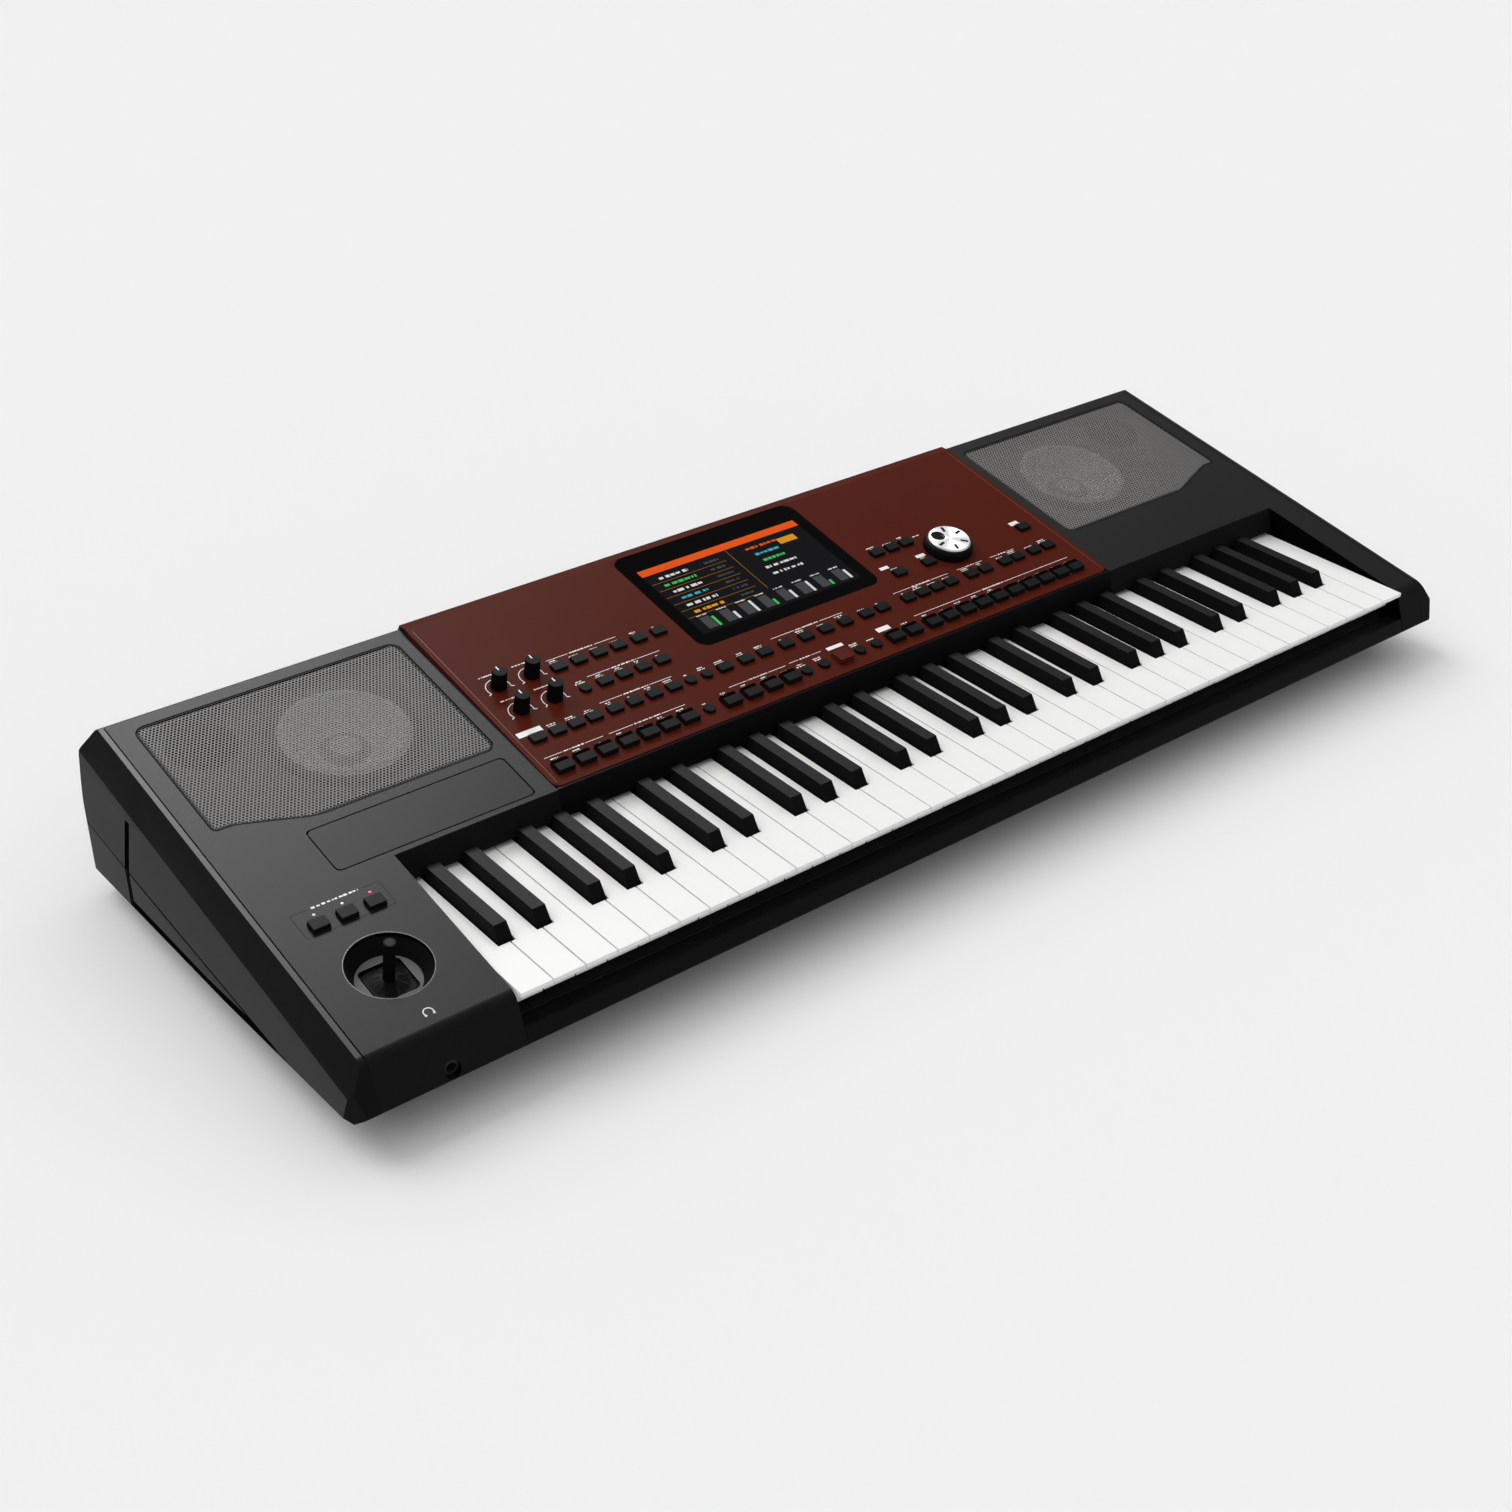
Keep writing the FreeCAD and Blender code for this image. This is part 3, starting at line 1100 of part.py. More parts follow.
def dial_parts():
    """The data dial's metal cap and the rubber ring round it."""
    top = KNOB_LIFT + DIAL_H
    core = DIAL_R - DIAL_RING_T
    cap = turned([(0, KNOB_LIFT), (core, KNOB_LIFT), (core, top - DIAL_RING_DROP / 2),
                  (core * DIAL_TOP_SHARE, top), (0, top)])
    ring = turned([(core, KNOB_LIFT), (DIAL_R, KNOB_LIFT), (DIAL_R, top - 2 * DIAL_RING_DROP),
                   (core + DIAL_RING_T / 2, top - DIAL_RING_DROP), (core, top - DIAL_RING_DROP)])
    ball_r = (DIMPLE_R ** 2 + DIMPLE_DEPTH ** 2) / (2 * DIMPLE_DEPTH)
    spot = DIMPLE_SHARE * core / math.sqrt(2)
    dimple = Part.makeSphere(ball_r, V(-spot, spot, top + ball_r - DIMPLE_DEPTH))
    bore = disc(SHAFT_R + SHAFT_CLEAR, 0, top - KNOB_ROOF)
    return [PANEL.seat(shape, *dial_place()) for shape in (cap.cut([dimple, bore]), ring)]


def display_glass():
    """The dark glass over the display."""
    points, radii = glass_outline(0.0, PANEL_REAR_Y - GLASS_CLEAR)
    return sheet(points, radii, PANEL, -GLASS_DROP - GLASS_T, -GLASS_DROP)


def lcd_module():
    """The display's frame, between the glass and the board."""
    half = HALF_GLASS - LCD_SIDE_IN
    front = PANEL_FRONT_Y + GLASS_UP + LCD_FRONT_IN
    rear = PANEL_REAR_Y - LCD_REAR_IN
    return layer(PANEL, -BOARD_DROP, -GLASS_DROP - GLASS_T, -half, half, front, rear)


# Left block


def switch_posts():
    """Plan places of the posts that hold the small board under the switches."""
    reach = SWITCH_BOARD_W / 2 - POST_R
    return [(STICK_X + side * reach, SWITCH_Y) for side in (-1, 1)]


def assignable_switches():
    """Three push buttons beside the joystick."""
    under = -WALL - UNDER_GAP
    cap = tile(SWITCH_CAP_W, SWITCH_CAP_D, under, SWITCH_CAP_H)
    shape = button(cap, flange_tile(SWITCH_CAP_W, SWITCH_CAP_D, WALL), WALL)
    return [DECK.seat(shape, x, y) for x, y in switch_places()]


def switch_board():
    """The small board under the three switches."""
    plate = tile(SWITCH_BOARD_W, SWITCH_BOARD_D, -SWITCH_BOARD_DROP - BOARD_T, -SWITCH_BOARD_DROP)
    switch = tile(SWITCH_W, SWITCH_W, -SWITCH_BOARD_DROP, -SWITCH_BOARD_DROP + SWITCH_H)
    return [DECK.seat(plate, STICK_X, SWITCH_Y)] + [DECK.seat(switch, x, y) for x, y in switch_places()]


def joystick_housing():
    """The well round the joystick: a tapering wall, a floor with a square hole and a skirt with bearings."""
    outer = disc(WELL_R + WELL_WALL, -WELL_TOTAL, -WALL)
    dish = Part.makeCone(WELL_FLOOR_R, WELL_R, WELL_DEPTH - WALL, V(0, 0, -WELL_DEPTH))
    hole = tile(WELL_HOLE_W, WELL_HOLE_W, -WELL_TOTAL - OVERRUN, -WALL, WELL_HOLE_R)
    skirt = disc(WELL_R - WELL_WALL, -WELL_TOTAL - OVERRUN, -WELL_DEPTH - WELL_FLOOR_T)
    reach = WELL_R + 2 * WELL_WALL
    bearing = bar_y(TRUNNION_R + TRUNNION_CLEAR, -reach, reach, 0, -GIMBAL_DOWN)
    return DECK.seat(outer.cut([dish, hole, skirt, bearing]), STICK_X, STICK_Y)


def joystick_gimbal():
    """The square ring that tips left and right on its trunnions."""
    low, high = -GIMBAL_DOWN - GIMBAL_H / 2, -GIMBAL_DOWN + GIMBAL_H / 2
    frame = tile(GIMBAL_W, GIMBAL_W, low - TRUNNION_R / 2, high)
    inside = GIMBAL_W - 2 * GIMBAL_BAR
    frame = frame.cut(tile(inside, inside, low - OVERRUN, high + OVERRUN))
    reach = WELL_R + WELL_WALL
    pins = [bar_y(TRUNNION_R, GIMBAL_W / 2 - GIMBAL_BAR, reach, 0, -GIMBAL_DOWN),
            bar_y(TRUNNION_R, -reach, -GIMBAL_W / 2 + GIMBAL_BAR, 0, -GIMBAL_DOWN)]
    bore = bar_x(TRUNNION_R + TRUNNION_CLEAR, -GIMBAL_W, GIMBAL_W, 0, -GIMBAL_DOWN)
    return DECK.seat(joined([frame] + pins).cut(bore), STICK_X, STICK_Y)


def joystick_stick():
    """The stick with its square dust shield, the boot on it and the cross bar that it tips on."""
    rod = disc(STICK_R, -GIMBAL_DOWN - STICK_R, STICK_UP)
    shield = tile(SHIELD_W, SHIELD_W, -SHIELD_DOWN - SHIELD_T, -SHIELD_DOWN, SHIELD_CORNER_R)
    boot = Part.makeCone(SHIELD_W / 2, STICK_R + BOOT_COLLAR, BOOT_RISE, V(0, 0, -SHIELD_DOWN))
    bar = bar_x(TRUNNION_R, -GIMBAL_W / 2, GIMBAL_W / 2, 0, -GIMBAL_DOWN)
    return DECK.seat(joined([rod, shield, boot, bar]), STICK_X, STICK_Y)


def headphone_jack():
    """The headphone socket in the front of the left block."""
    face = FRONT_Y + PHONES_RECESS + WALL
    nose_end = face + WALL + OVERRUN
    nose = bar_y(JACK_NOSE_R, face, nose_end, STICK_X, PHONES_Z)
    half = JACK_BODY_W / 2
    body = block(STICK_X - half, STICK_X + half, nose_end, face + JACK_BODY_L,
                 PHONES_Z - half, PHONES_Z + half)
    bore = bar_y(JACK_BORE_R, face - OVERRUN, face + JACK_BORE_L, STICK_X, PHONES_Z)
    return joined([nose, body]).cut(bore)


# Speakers


def speaker_box(side):
    """The box behind a grille: a sloping baffle, walls down to the tray and an upright port tube."""
    inner, outer = GRILLE_INNER_X - BOX_MARGIN, GRILLE_OUTER_X + BOX_MARGIN
    x0, x1 = sorted((side * inner, side * outer))
    front, rear = DRIVER_Y - DRIVER_R - BOX_WALL - BOX_CLEAR, DECK_REAR_Y - BOX_MARGIN
    height = layer(DECK, -BEYOND, -BAFFLE_DROP).common(block(x0, x1, front, rear, FLOOR_Z, BEYOND))
    space = layer(DECK, -BEYOND, -BAFFLE_DROP - BAFFLE_T)
    hollow = space.common(block(x0 + BOX_WALL, x1 - BOX_WALL, front + BOX_WALL, rear - BOX_WALL,
                                FLOOR_Z + BOX_WALL, BEYOND))
    baffle_front = DRIVER_Y - DRIVER_R - DRIVER_FLANGE - BOX_MARGIN
    baffle = layer(DECK, -BAFFLE_DROP - BAFFLE_T, -BAFFLE_DROP, x0, x1, baffle_front, rear)
    foot = V(side * PORT_X, PORT_Y, DECK.over(PORT_Y, -BAFFLE_DROP) - PORT_LENGTH)
    tube = Part.makeCylinder(PORT_R + BOX_WALL, BEYOND, foot).common(layer(DECK, -BEYOND, -BAFFLE_DROP))
    body = joined([height.cut(hollow), baffle, tube])
    cuts = [DECK.seat(disc(DRIVER_R, -BAFFLE_DROP - BAFFLE_T - OVERRUN, OVERRUN), side * DRIVER_X, DRIVER_Y),
            Part.makeCylinder(PORT_R, BEYOND, foot)]
    return body.cut(cuts)


def woofer(side):
    """A loudspeaker: flange, rolled edge, cone, dust cap, basket and magnet, turned as one."""
    flange_r = DRIVER_R + DRIVER_FLANGE
    outer = DRIVER_R - UNDER_GAP
    neck = MAGNET_R - DRIVER_FLANGE
    rim = DRIVER_R - DRIVER_FLANGE
    back = -BASKET_DEPTH
    cap_foot = -DRIVER_CONE_DEPTH
    shape = turned([(0, back - MAGNET_H), (MAGNET_R, back - MAGNET_H), (MAGNET_R, back), (neck, back),
                    (outer, -BAFFLE_T), (outer, 0), (flange_r, 0), (flange_r, DRIVER_FLANGE_T),
                    (DRIVER_R, DRIVER_FLANGE_T), (DRIVER_R - DRIVER_FLANGE / 2, 2 * DRIVER_FLANGE_T),
                    (rim, DRIVER_FLANGE_T), (DUST_CAP_R, cap_foot),
                    (DUST_CAP_R / 2, cap_foot + DUST_CAP_RISE * DUST_CAP_SHOULDER_SHARE),
                    (0, cap_foot + DUST_CAP_RISE)])
    shape.translate(V(0, 0, -BAFFLE_DROP))
    return DECK.seat(shape, side * DRIVER_X, DRIVER_Y)


# Sockets and inner boards


def jack_places():
    """Places of the line sockets along the rear wall."""
    return [JACK_FIRST_SHARE * HALF_PANEL + i * JACK_PITCH for i in range(JACK_COUNT)]


def midi_places():
    """Places of the round data sockets along the rear wall."""
    return [MIDI_FIRST_SHARE * HALF_PANEL + i * MIDI_PITCH for i in range(MIDI_COUNT)]


def usb_places():
    """Places of the two square data sockets along the rear wall."""
    return across(USB_SHARES)


def rear_jacks():
    """Line sockets, each a body behind the rear wall with its nose in the wall."""
    made = []
    inner = REAR_Y - WALL
    half = JACK_BODY_W / 2
    for x in jack_places():
        nose = bar_y(JACK_NOSE_R, inner, REAR_Y, x, SOCKET_Z)
        body = block(x - half, x + half, REAR_Y - JACK_BODY_L, inner, SOCKET_Z - half, SOCKET_Z + half)
        bore = bar_y(JACK_BORE_R, REAR_Y - JACK_BORE_L, REAR_Y + OVERRUN, x, SOCKET_Z)
        made.append(joined([nose, body]).cut(bore))
    return made


def data_sockets():
    """Three round sockets and two square ones, flush with the rear wall."""
    made = []
    for x in midi_places():
        body = bar_y(MIDI_R, REAR_Y - MIDI_LENGTH, REAR_Y, x, SOCKET_Z)
        made.append(body.cut(bar_y(MIDI_RECESS_R, REAR_Y - MIDI_RECESS, REAR_Y + OVERRUN, x, SOCKET_Z)))
    for x, mouth in zip(usb_places(), (USB_MOUTH_H, USB_HOST_MOUTH_H)):
        body = block(x - USB_W / 2, x + USB_W / 2, REAR_Y - USB_LENGTH, REAR_Y,
                     SOCKET_Z - USB_H / 2, SOCKET_Z + USB_H / 2)
        made.append(body.cut(block(x - USB_MOUTH_W / 2, x + USB_MOUTH_W / 2, REAR_Y - USB_RECESS,
                                   REAR_Y + OVERRUN, SOCKET_Z - mouth / 2, SOCKET_Z + mouth / 2)))
    return made


def power_inlet():
    """The mains inlet, flush with the rear wall."""
    x = INLET_SHARE * HALF_PANEL
    body = block(x - INLET_W / 2, x + INLET_W / 2, REAR_Y - INLET_LENGTH, REAR_Y,
                 SOCKET_Z - INLET_H / 2, SOCKET_Z + INLET_H / 2)
    mouth = block(x - INLET_MOUTH_W / 2, x + INLET_MOUTH_W / 2, REAR_Y - INLET_RECESS, REAR_Y + OVERRUN,
                  SOCKET_Z - INLET_MOUTH_H / 2, SOCKET_Z + INLET_MOUTH_H / 2)
    return body.cut(mouth)


def power_button():
    """The round power button in the rear wall, stopped by a flange behind it."""
    x = POWER_SHARE * HALF_PANEL
    inner = REAR_Y - WALL - UNDER_GAP
    cap = bar_y(POWER_R, inner - POWER_LENGTH, REAR_Y, x, SOCKET_Z)
    flange = bar_y(POWER_R + POWER_FLANGE, inner - POWER_FLANGE, inner, x, SOCKET_Z)
    return joined([cap, flange])


def main_board():
    """The sound board on the tray's posts, with its chips."""
    z = MAIN_BOARD_Z
    x0, y0 = MAIN_BOARD_X - MAIN_BOARD_W / 2, MAIN_BOARD_Y - MAIN_BOARD_D / 2
    pieces = [block(x0, x0 + MAIN_BOARD_W, y0, y0 + MAIN_BOARD_D, z, z + BOARD_T)]
    for across_share, along_share, size_share in CHIP_SHARES:
        x = MAIN_BOARD_X + across_share * MAIN_BOARD_W
        y = MAIN_BOARD_Y + along_share * MAIN_BOARD_D
        half = size_share * MAIN_BOARD_W / 2
        pieces.append(block(x - half, x + half, y - half, y + half, z + BOARD_T, z + BOARD_T + CHIP_T))
    return joined(pieces)


def power_supply():
    """The power supply: a sheet box over the tray's floor with cooling fins along its top."""
    x0, y0 = SUPPLY_X - SUPPLY_W / 2, MAIN_BOARD_Y - SUPPLY_D / 2
    skin = block(x0, x0 + SUPPLY_W, y0, y0 + SUPPLY_D, FLOOR_Z, FLOOR_Z + SUPPLY_H)
    x1, y1 = x0 + SUPPLY_W, y0 + SUPPLY_D
    inside = block(x0 + SUPPLY_SKIN, x1 - SUPPLY_SKIN, y0 + SUPPLY_SKIN, y1 - SUPPLY_SKIN,
                   FLOOR_Z, FLOOR_Z + SUPPLY_H - SUPPLY_SKIN)
    pieces = [skin.cut(inside)]
    step = SUPPLY_W / SUPPLY_FINS
    for i in range(SUPPLY_FINS):
        x = x0 + (i + 0.5) * step
        pieces.append(block(x - SUPPLY_FIN / 2, x + SUPPLY_FIN / 2, y0, y0 + SUPPLY_D, FLOOR_Z + SUPPLY_H,
                            FLOOR_Z + SUPPLY_H + 2 * SUPPLY_FIN))
    return joined(pieces)


def build():
    """Every piece by its name: one solid, or a list of like solids."""
    shell = case_body(0.0).cut(case_body(WALL))
    buttons = panel_buttons()
    cap, ring = dial_parts()
    parts = {
        "bottom_case": bottom_case(shell),
        "left_side_panel": side_panel(shell, -1),
        "right_side_panel": side_panel(shell, 1),
        "left_top_cover": top_cover(shell, -1, SLOT_LEFT),
        "right_top_cover": top_cover(shell, 1, SLOT_RIGHT),
        "rear_panel": rear_panel(shell),
        "key_slip": key_slip(shell),
        "keyslot_fascia": keyslot_fascia(),
        "control_panel": control_panel(),
        "badge_plate": badge_plate(),
        "display_glass": display_glass(),
        "lcd_module": lcd_module(),
        "left_grille": grille(-1),
        "right_grille": grille(1),
        "left_speaker_box": speaker_box(-1),
        "right_speaker_box": speaker_box(1),
        "left_woofer": woofer(-1),
        "right_woofer": woofer(1),
        "key_chassis": key_chassis(),
        "key_pivot_rod": key_pivot_rod(),
        "key_stop_felt": key_stop_felt(),
        "key_contact_board": key_contact_board(),
        "control_boards": panel_board() + switch_board(),
        "row_1_buttons": buttons["row_1"],
        "row_2_buttons": buttons["row_2"],
        "row_3_buttons": buttons["row_3"],
        "row_4_buttons": buttons["row_4"],
        "round_buttons": buttons["round"],
        "start_button": buttons["start"],
        "assignable_switches": assignable_switches(),
        "dial_cap": cap,
        "dial_ring": ring,
        "joystick_housing": joystick_housing(),
        "joystick_gimbal": joystick_gimbal(),
        "joystick_stick": joystick_stick(),
        "headphone_jack": headphone_jack(),
        "rear_jacks": rear_jacks(),
        "data_sockets": data_sockets(),
        "power_inlet": power_inlet(),
        "power_button": power_button(),
        "main_board": main_board(),
        "power_supply": power_supply(),
        "feet": feet(),
        "screws": screws(),
    }
    for number, (x, y) in enumerate(knob_places(), 1):
        parts[f"knob_{number}"] = PANEL.seat(knob(), x, y)
    for note in NOTES:
        parts[f"keys_{note}"] = key_group(note)
    return parts


os.makedirs("parts", exist_ok=True)
for name, made in build().items():
    solids = made if isinstance(made, list) else [made]
    shape = Part.makeCompound([solid for piece in solids for solid in piece.Solids])
    shape.exportStep(f"parts/{name}.step")
    print(name, len(shape.Solids), "solids, valid", shape.isValid(), "volume", round(shape.Volume))
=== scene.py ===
import json
import logging
import math
import random
from dataclasses import dataclass, field
from enum import Enum
from functools import cache, partial
from typing import Any, Callable, Sequence

import bmesh
import bpy
from mathutils import Matrix, Vector


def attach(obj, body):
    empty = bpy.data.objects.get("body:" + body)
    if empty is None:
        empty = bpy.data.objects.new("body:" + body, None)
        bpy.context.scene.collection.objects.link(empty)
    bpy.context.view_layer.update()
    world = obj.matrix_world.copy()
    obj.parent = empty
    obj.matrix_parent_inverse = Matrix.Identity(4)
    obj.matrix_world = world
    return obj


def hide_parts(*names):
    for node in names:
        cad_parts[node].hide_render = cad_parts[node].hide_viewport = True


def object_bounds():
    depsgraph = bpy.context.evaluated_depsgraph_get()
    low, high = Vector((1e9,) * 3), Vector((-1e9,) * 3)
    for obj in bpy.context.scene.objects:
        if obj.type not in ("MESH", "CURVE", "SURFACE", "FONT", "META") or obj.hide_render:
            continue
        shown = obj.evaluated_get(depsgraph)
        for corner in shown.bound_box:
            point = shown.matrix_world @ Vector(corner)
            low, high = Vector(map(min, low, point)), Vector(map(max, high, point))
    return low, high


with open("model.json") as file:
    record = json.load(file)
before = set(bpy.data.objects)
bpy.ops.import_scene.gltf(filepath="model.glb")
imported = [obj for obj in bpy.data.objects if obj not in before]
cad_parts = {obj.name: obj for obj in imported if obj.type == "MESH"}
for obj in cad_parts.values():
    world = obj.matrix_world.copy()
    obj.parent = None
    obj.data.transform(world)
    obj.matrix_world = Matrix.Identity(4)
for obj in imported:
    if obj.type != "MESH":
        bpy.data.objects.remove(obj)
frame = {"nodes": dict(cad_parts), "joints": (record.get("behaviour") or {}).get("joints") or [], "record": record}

CAD_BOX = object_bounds()
MM = 0.001
log = logging.getLogger("keyboard")

Triple = tuple[float, float, float]
Colour = Triple
Spot = tuple[float, float]
Plane = tuple[Vector, Vector]
FaceTest = Callable[[Vector, Vector], bool]
BMesh = bmesh.types.BMesh
Link = bpy.types.NodeSocket
Material = bpy.types.Material
Mesh = bpy.types.Mesh
Node = bpy.types.Node
Piece = bpy.types.Object
Dice = random.Random


class Slot(Enum):
    """The record's material slots, one passed with each new piece."""

    CASE = "case_dark"
    TRIM = "case_trim"
    PANEL = "panel_red"
    GRILLE = "grille_grey"
    BADGE = "badge_dark"
    GLASS = "glass_black"
    WHITE = "key_white"
    BLACK = "key_black"
    CAP = "button_black"
    START = "button_red"
    KNOB = "knob_black"
    DIAL = "dial_metal"
    RUBBER = "rubber_black"
    SPEAKER = "speaker_frame"
    BOX = "box_plastic"
    CHASSIS = "chassis_plastic"
    STEEL = "rod_steel"
    SOCKET = "socket_black"


# Surfaces that the pieces lie on


JOINTS = {joint["name"]: joint for joint in frame["joints"]}
STICK = "joystick_side_tilt"
STICK_DROP = 22.0
DIAL = "data_dial_turn"
REAR_EDGE_Z, REAR_EDGE_RISE, REAR_EDGE_IN = 110.0, 15.0, 8.0


@dataclass(frozen=True)
class Slope:
    """A flat surface that rises or falls towards the rear, with plan places in millimetres."""

    y: float
    z: float
    tilt: float

    @classmethod
    def over(cls, joint: str, normal: Vector, up: float = 0.0) -> "Slope":
        """The surface at a distance over a joint's point.

        Args:
            joint: The joint's name in the record.
            normal: The surface's normal.
            up: The distance, square to the surface, in millimetres.

        Returns:
            The surface.
        """
        spot = Vector(JOINTS[joint]["pos_m"]) / MM + normal * up
        return cls(spot.y, spot.z, math.atan2(-normal.y, normal.z))

    def height(self, y: float) -> float:
        """Height of the surface at a plan place along the depth, in millimetres."""
        return self.z + math.tan(self.tilt) * (y - self.y)

    def turned(self, turn: float) -> Matrix:
        """The turn of what lies on the surface, itself turned about the normal by radians."""
        return Matrix.Rotation(self.tilt, 4, "X") @ Matrix.Rotation(turn, 4, "Z")

    def matrix(self, x: float, y: float, up: float = 0.0) -> Matrix:
        """The frame of a place on the surface.

        Args:
            x: Plan place along the keys, in millimetres.
            y: Plan place along the depth, in millimetres.
            up: Distance over the surface, square to it, in millimetres.

        Returns:
            A matrix in metres whose Z axis is the surface's normal.
        """
        spot = Matrix.Translation(Vector((x, y, self.height(y))) * MM)
        return spot @ self.turned(0.0) @ Matrix.Translation((0, 0, up * MM))

    def plan_of(self, point: Vector) -> Triple:
        """Plan place and distance over the surface of a point in metres, all in millimetres."""
        local = self.matrix(0, self.y).inverted() @ point
        return local.x / MM, self.y + local.y / MM * math.cos(self.tilt), local.z / MM

    def under(self, joint: str) -> Spot:
        """Plan place of a joint's point on the surface, in millimetres."""
        return self.plan_of(Vector(JOINTS[joint]["pos_m"]))[:2]


DECK = Slope.over(STICK, -Vector(JOINTS["assignable_switches_press"]["axis"]), STICK_DROP)
PANEL = Slope.over(DIAL, Vector(JOINTS[DIAL]["axis"]))
REAR_EDGE = Slope(CAD_BOX[1][1] / MM, REAR_EDGE_Z, -math.atan2(REAR_EDGE_RISE, REAR_EDGE_IN))


# Materials


class Graph:
    """A node tree that is filled by short calls."""

    def __init__(self, tree: bpy.types.NodeTree) -> None:
        """Starts on an empty tree."""
        self.tree = tree
        tree.nodes.clear()

    def feed(self, node: Node, inputs: dict[Any, Any]) -> None:
        """Sets a node's inputs.

        Args:
            node: The node.
            inputs: A value or another node's socket for each input, by name or number.
        """
        for key, value in inputs.items():
            if isinstance(value, Link):
                self.tree.links.new(value, node.inputs[key])
            else:
                node.inputs[key].default_value = value

    def add(self, kind: str, inputs: dict[Any, Any] | None = None, **settings: Any) -> Node:
        """Adds a node.

        Args:
            kind: The node's type.
            inputs: Values or sockets for its inputs, by name or number.
            settings: Properties of the node itself.

        Returns:
            The new node.
        """
        node = self.tree.nodes.new(kind)
        for name, value in settings.items():
            setattr(node, name, value)
        self.feed(node, inputs or {})
        return node

    def out(self, kind: str, inputs: dict[Any, Any] | None = None, **settings: Any) -> Link:
        """Adds a node and returns its first output."""
        return self.add(kind, inputs, **settings).outputs[0]

    def maths(self, operation: str, *values: Any) -> Link:
        """Adds a maths node on numbers or sockets and returns its result."""
        return self.out("ShaderNodeMath", dict(enumerate(values)), operation=operation)

    def vectors(self, operation: str, *values: Any) -> Link:
        """Adds a vector maths node on vectors or sockets and returns its result."""
        return self.out("ShaderNodeVectorMath", dict(enumerate(values)), operation=operation)

    def spread(self, value: Link, low: float, high: float) -> Link:
        """Maps a socket that runs from nought to one on to a range and returns the result."""
        return self.out("ShaderNodeMapRange", {"Value": value, "To Min": low, "To Max": high})


@dataclass(frozen=True)
class Finish:
    """A surface with a fine grain, a slow change of shade and its own gloss."""

    SLOW = 14.0

    name: str
    colour: Colour
    roughness: float = 0.5
    metallic: float = 0.0
    grain: float = 0.5
    relief: float = 0.02
    mottle: float = 0.12
    uneven: float = 0.06
    gloss: float = 0.5
    stretch: Triple = (1.0, 1.0, 1.0)

    @cache
    def make(self) -> Material:
        """Makes the finish as a material, once.

        Returns:
            The material.
        """
        material = bpy.data.materials.new(self.name)
        material.use_nodes = True
        graph = Graph(material.node_tree)
        even = {"Metallic": self.metallic, "Specular IOR Level": self.gloss}
        shader = graph.add("ShaderNodeBsdfPrincipled", even)
        graph.add("ShaderNodeOutputMaterial", {0: shader.outputs[0]})
        self.dress(graph, shader)
        return material

    def dress(self, graph: Graph, shader: Node) -> None:
        """Adds what the surface shows to the shader.

        Args:
            graph: The material's nodes.
            shader: The surface shader.
        """
        place = self.coordinates(graph)
        fine = self.noise(graph, place, 1.0 / (self.grain * MM), 3.0)
        slow = self.noise(graph, place, self.SLOW, 2.0)
        self.tint(graph, shader, slow, fine)
        rough = graph.maths("MULTIPLY_ADD", fine, self.uneven, self.roughness - self.uneven / 2)
        graph.feed(shader, {"Roughness": rough})
        if self.relief:
            self.raise_relief(graph, shader, fine)

    def coordinates(self, graph: Graph) -> Link:
        """The piece's own coordinates, stretched where the grain runs one way."""
        source = graph.add("ShaderNodeTexCoord").outputs["Object"]
        return graph.out("ShaderNodeMapping", {"Vector": source, "Scale": self.stretch})

    @staticmethod
    def noise(graph: Graph, place: Link, scale: float, detail: float) -> Link:
        """A noise from nought to one at a scale in cells a metre."""
        return graph.out("ShaderNodeTexNoise", {"Vector": place, "Scale": scale, "Detail": detail})

    def tint(self, graph: Graph, shader: Node, slow: Link, fine: Link) -> None:
        """Varies the colour a little.

        Args:
            graph: The material's nodes.
            shader: The surface shader.
            slow: A pattern that changes slowly over the piece.
            fine: The pattern of the grain.
        """
        both = graph.maths("ADD", graph.maths("MULTIPLY", slow, 0.5), graph.maths("MULTIPLY", fine, 0.5))
        low = [c * (1 - self.mottle) for c in self.colour] + [1.0]
        high = [c * (1 + self.mottle) for c in self.colour] + [1.0]
        mix = graph.add("ShaderNodeMix", {0: both, 6: low, 7: high}, data_type="RGBA")
        graph.feed(shader, {"Base Color": mix.outputs[2]})

    def raise_relief(self, graph: Graph, shader: Node, height: Link) -> None:
        """Adds the grain as a shallow relief."""
        bump = {"Height": height, "Distance": self.relief * MM, "Strength": 1.0}
        graph.feed(shader, {"Normal": graph.out("ShaderNodeBump", bump)})


@dataclass(frozen=True)
class LitFinish(Finish):
    """A smooth surface that gives light, such as a display's tile or a lamp."""

    grain: float = 0.6
    relief: float = 0.0
    glow: float = 1.0

    def dress(self, graph: Graph, shader: Node) -> None:
        """Adds an even glow."""
        super().dress(graph, shader)
        graph.feed(shader, {"Emission Color": (*self.colour, 1.0), "Emission Strength": self.glow})


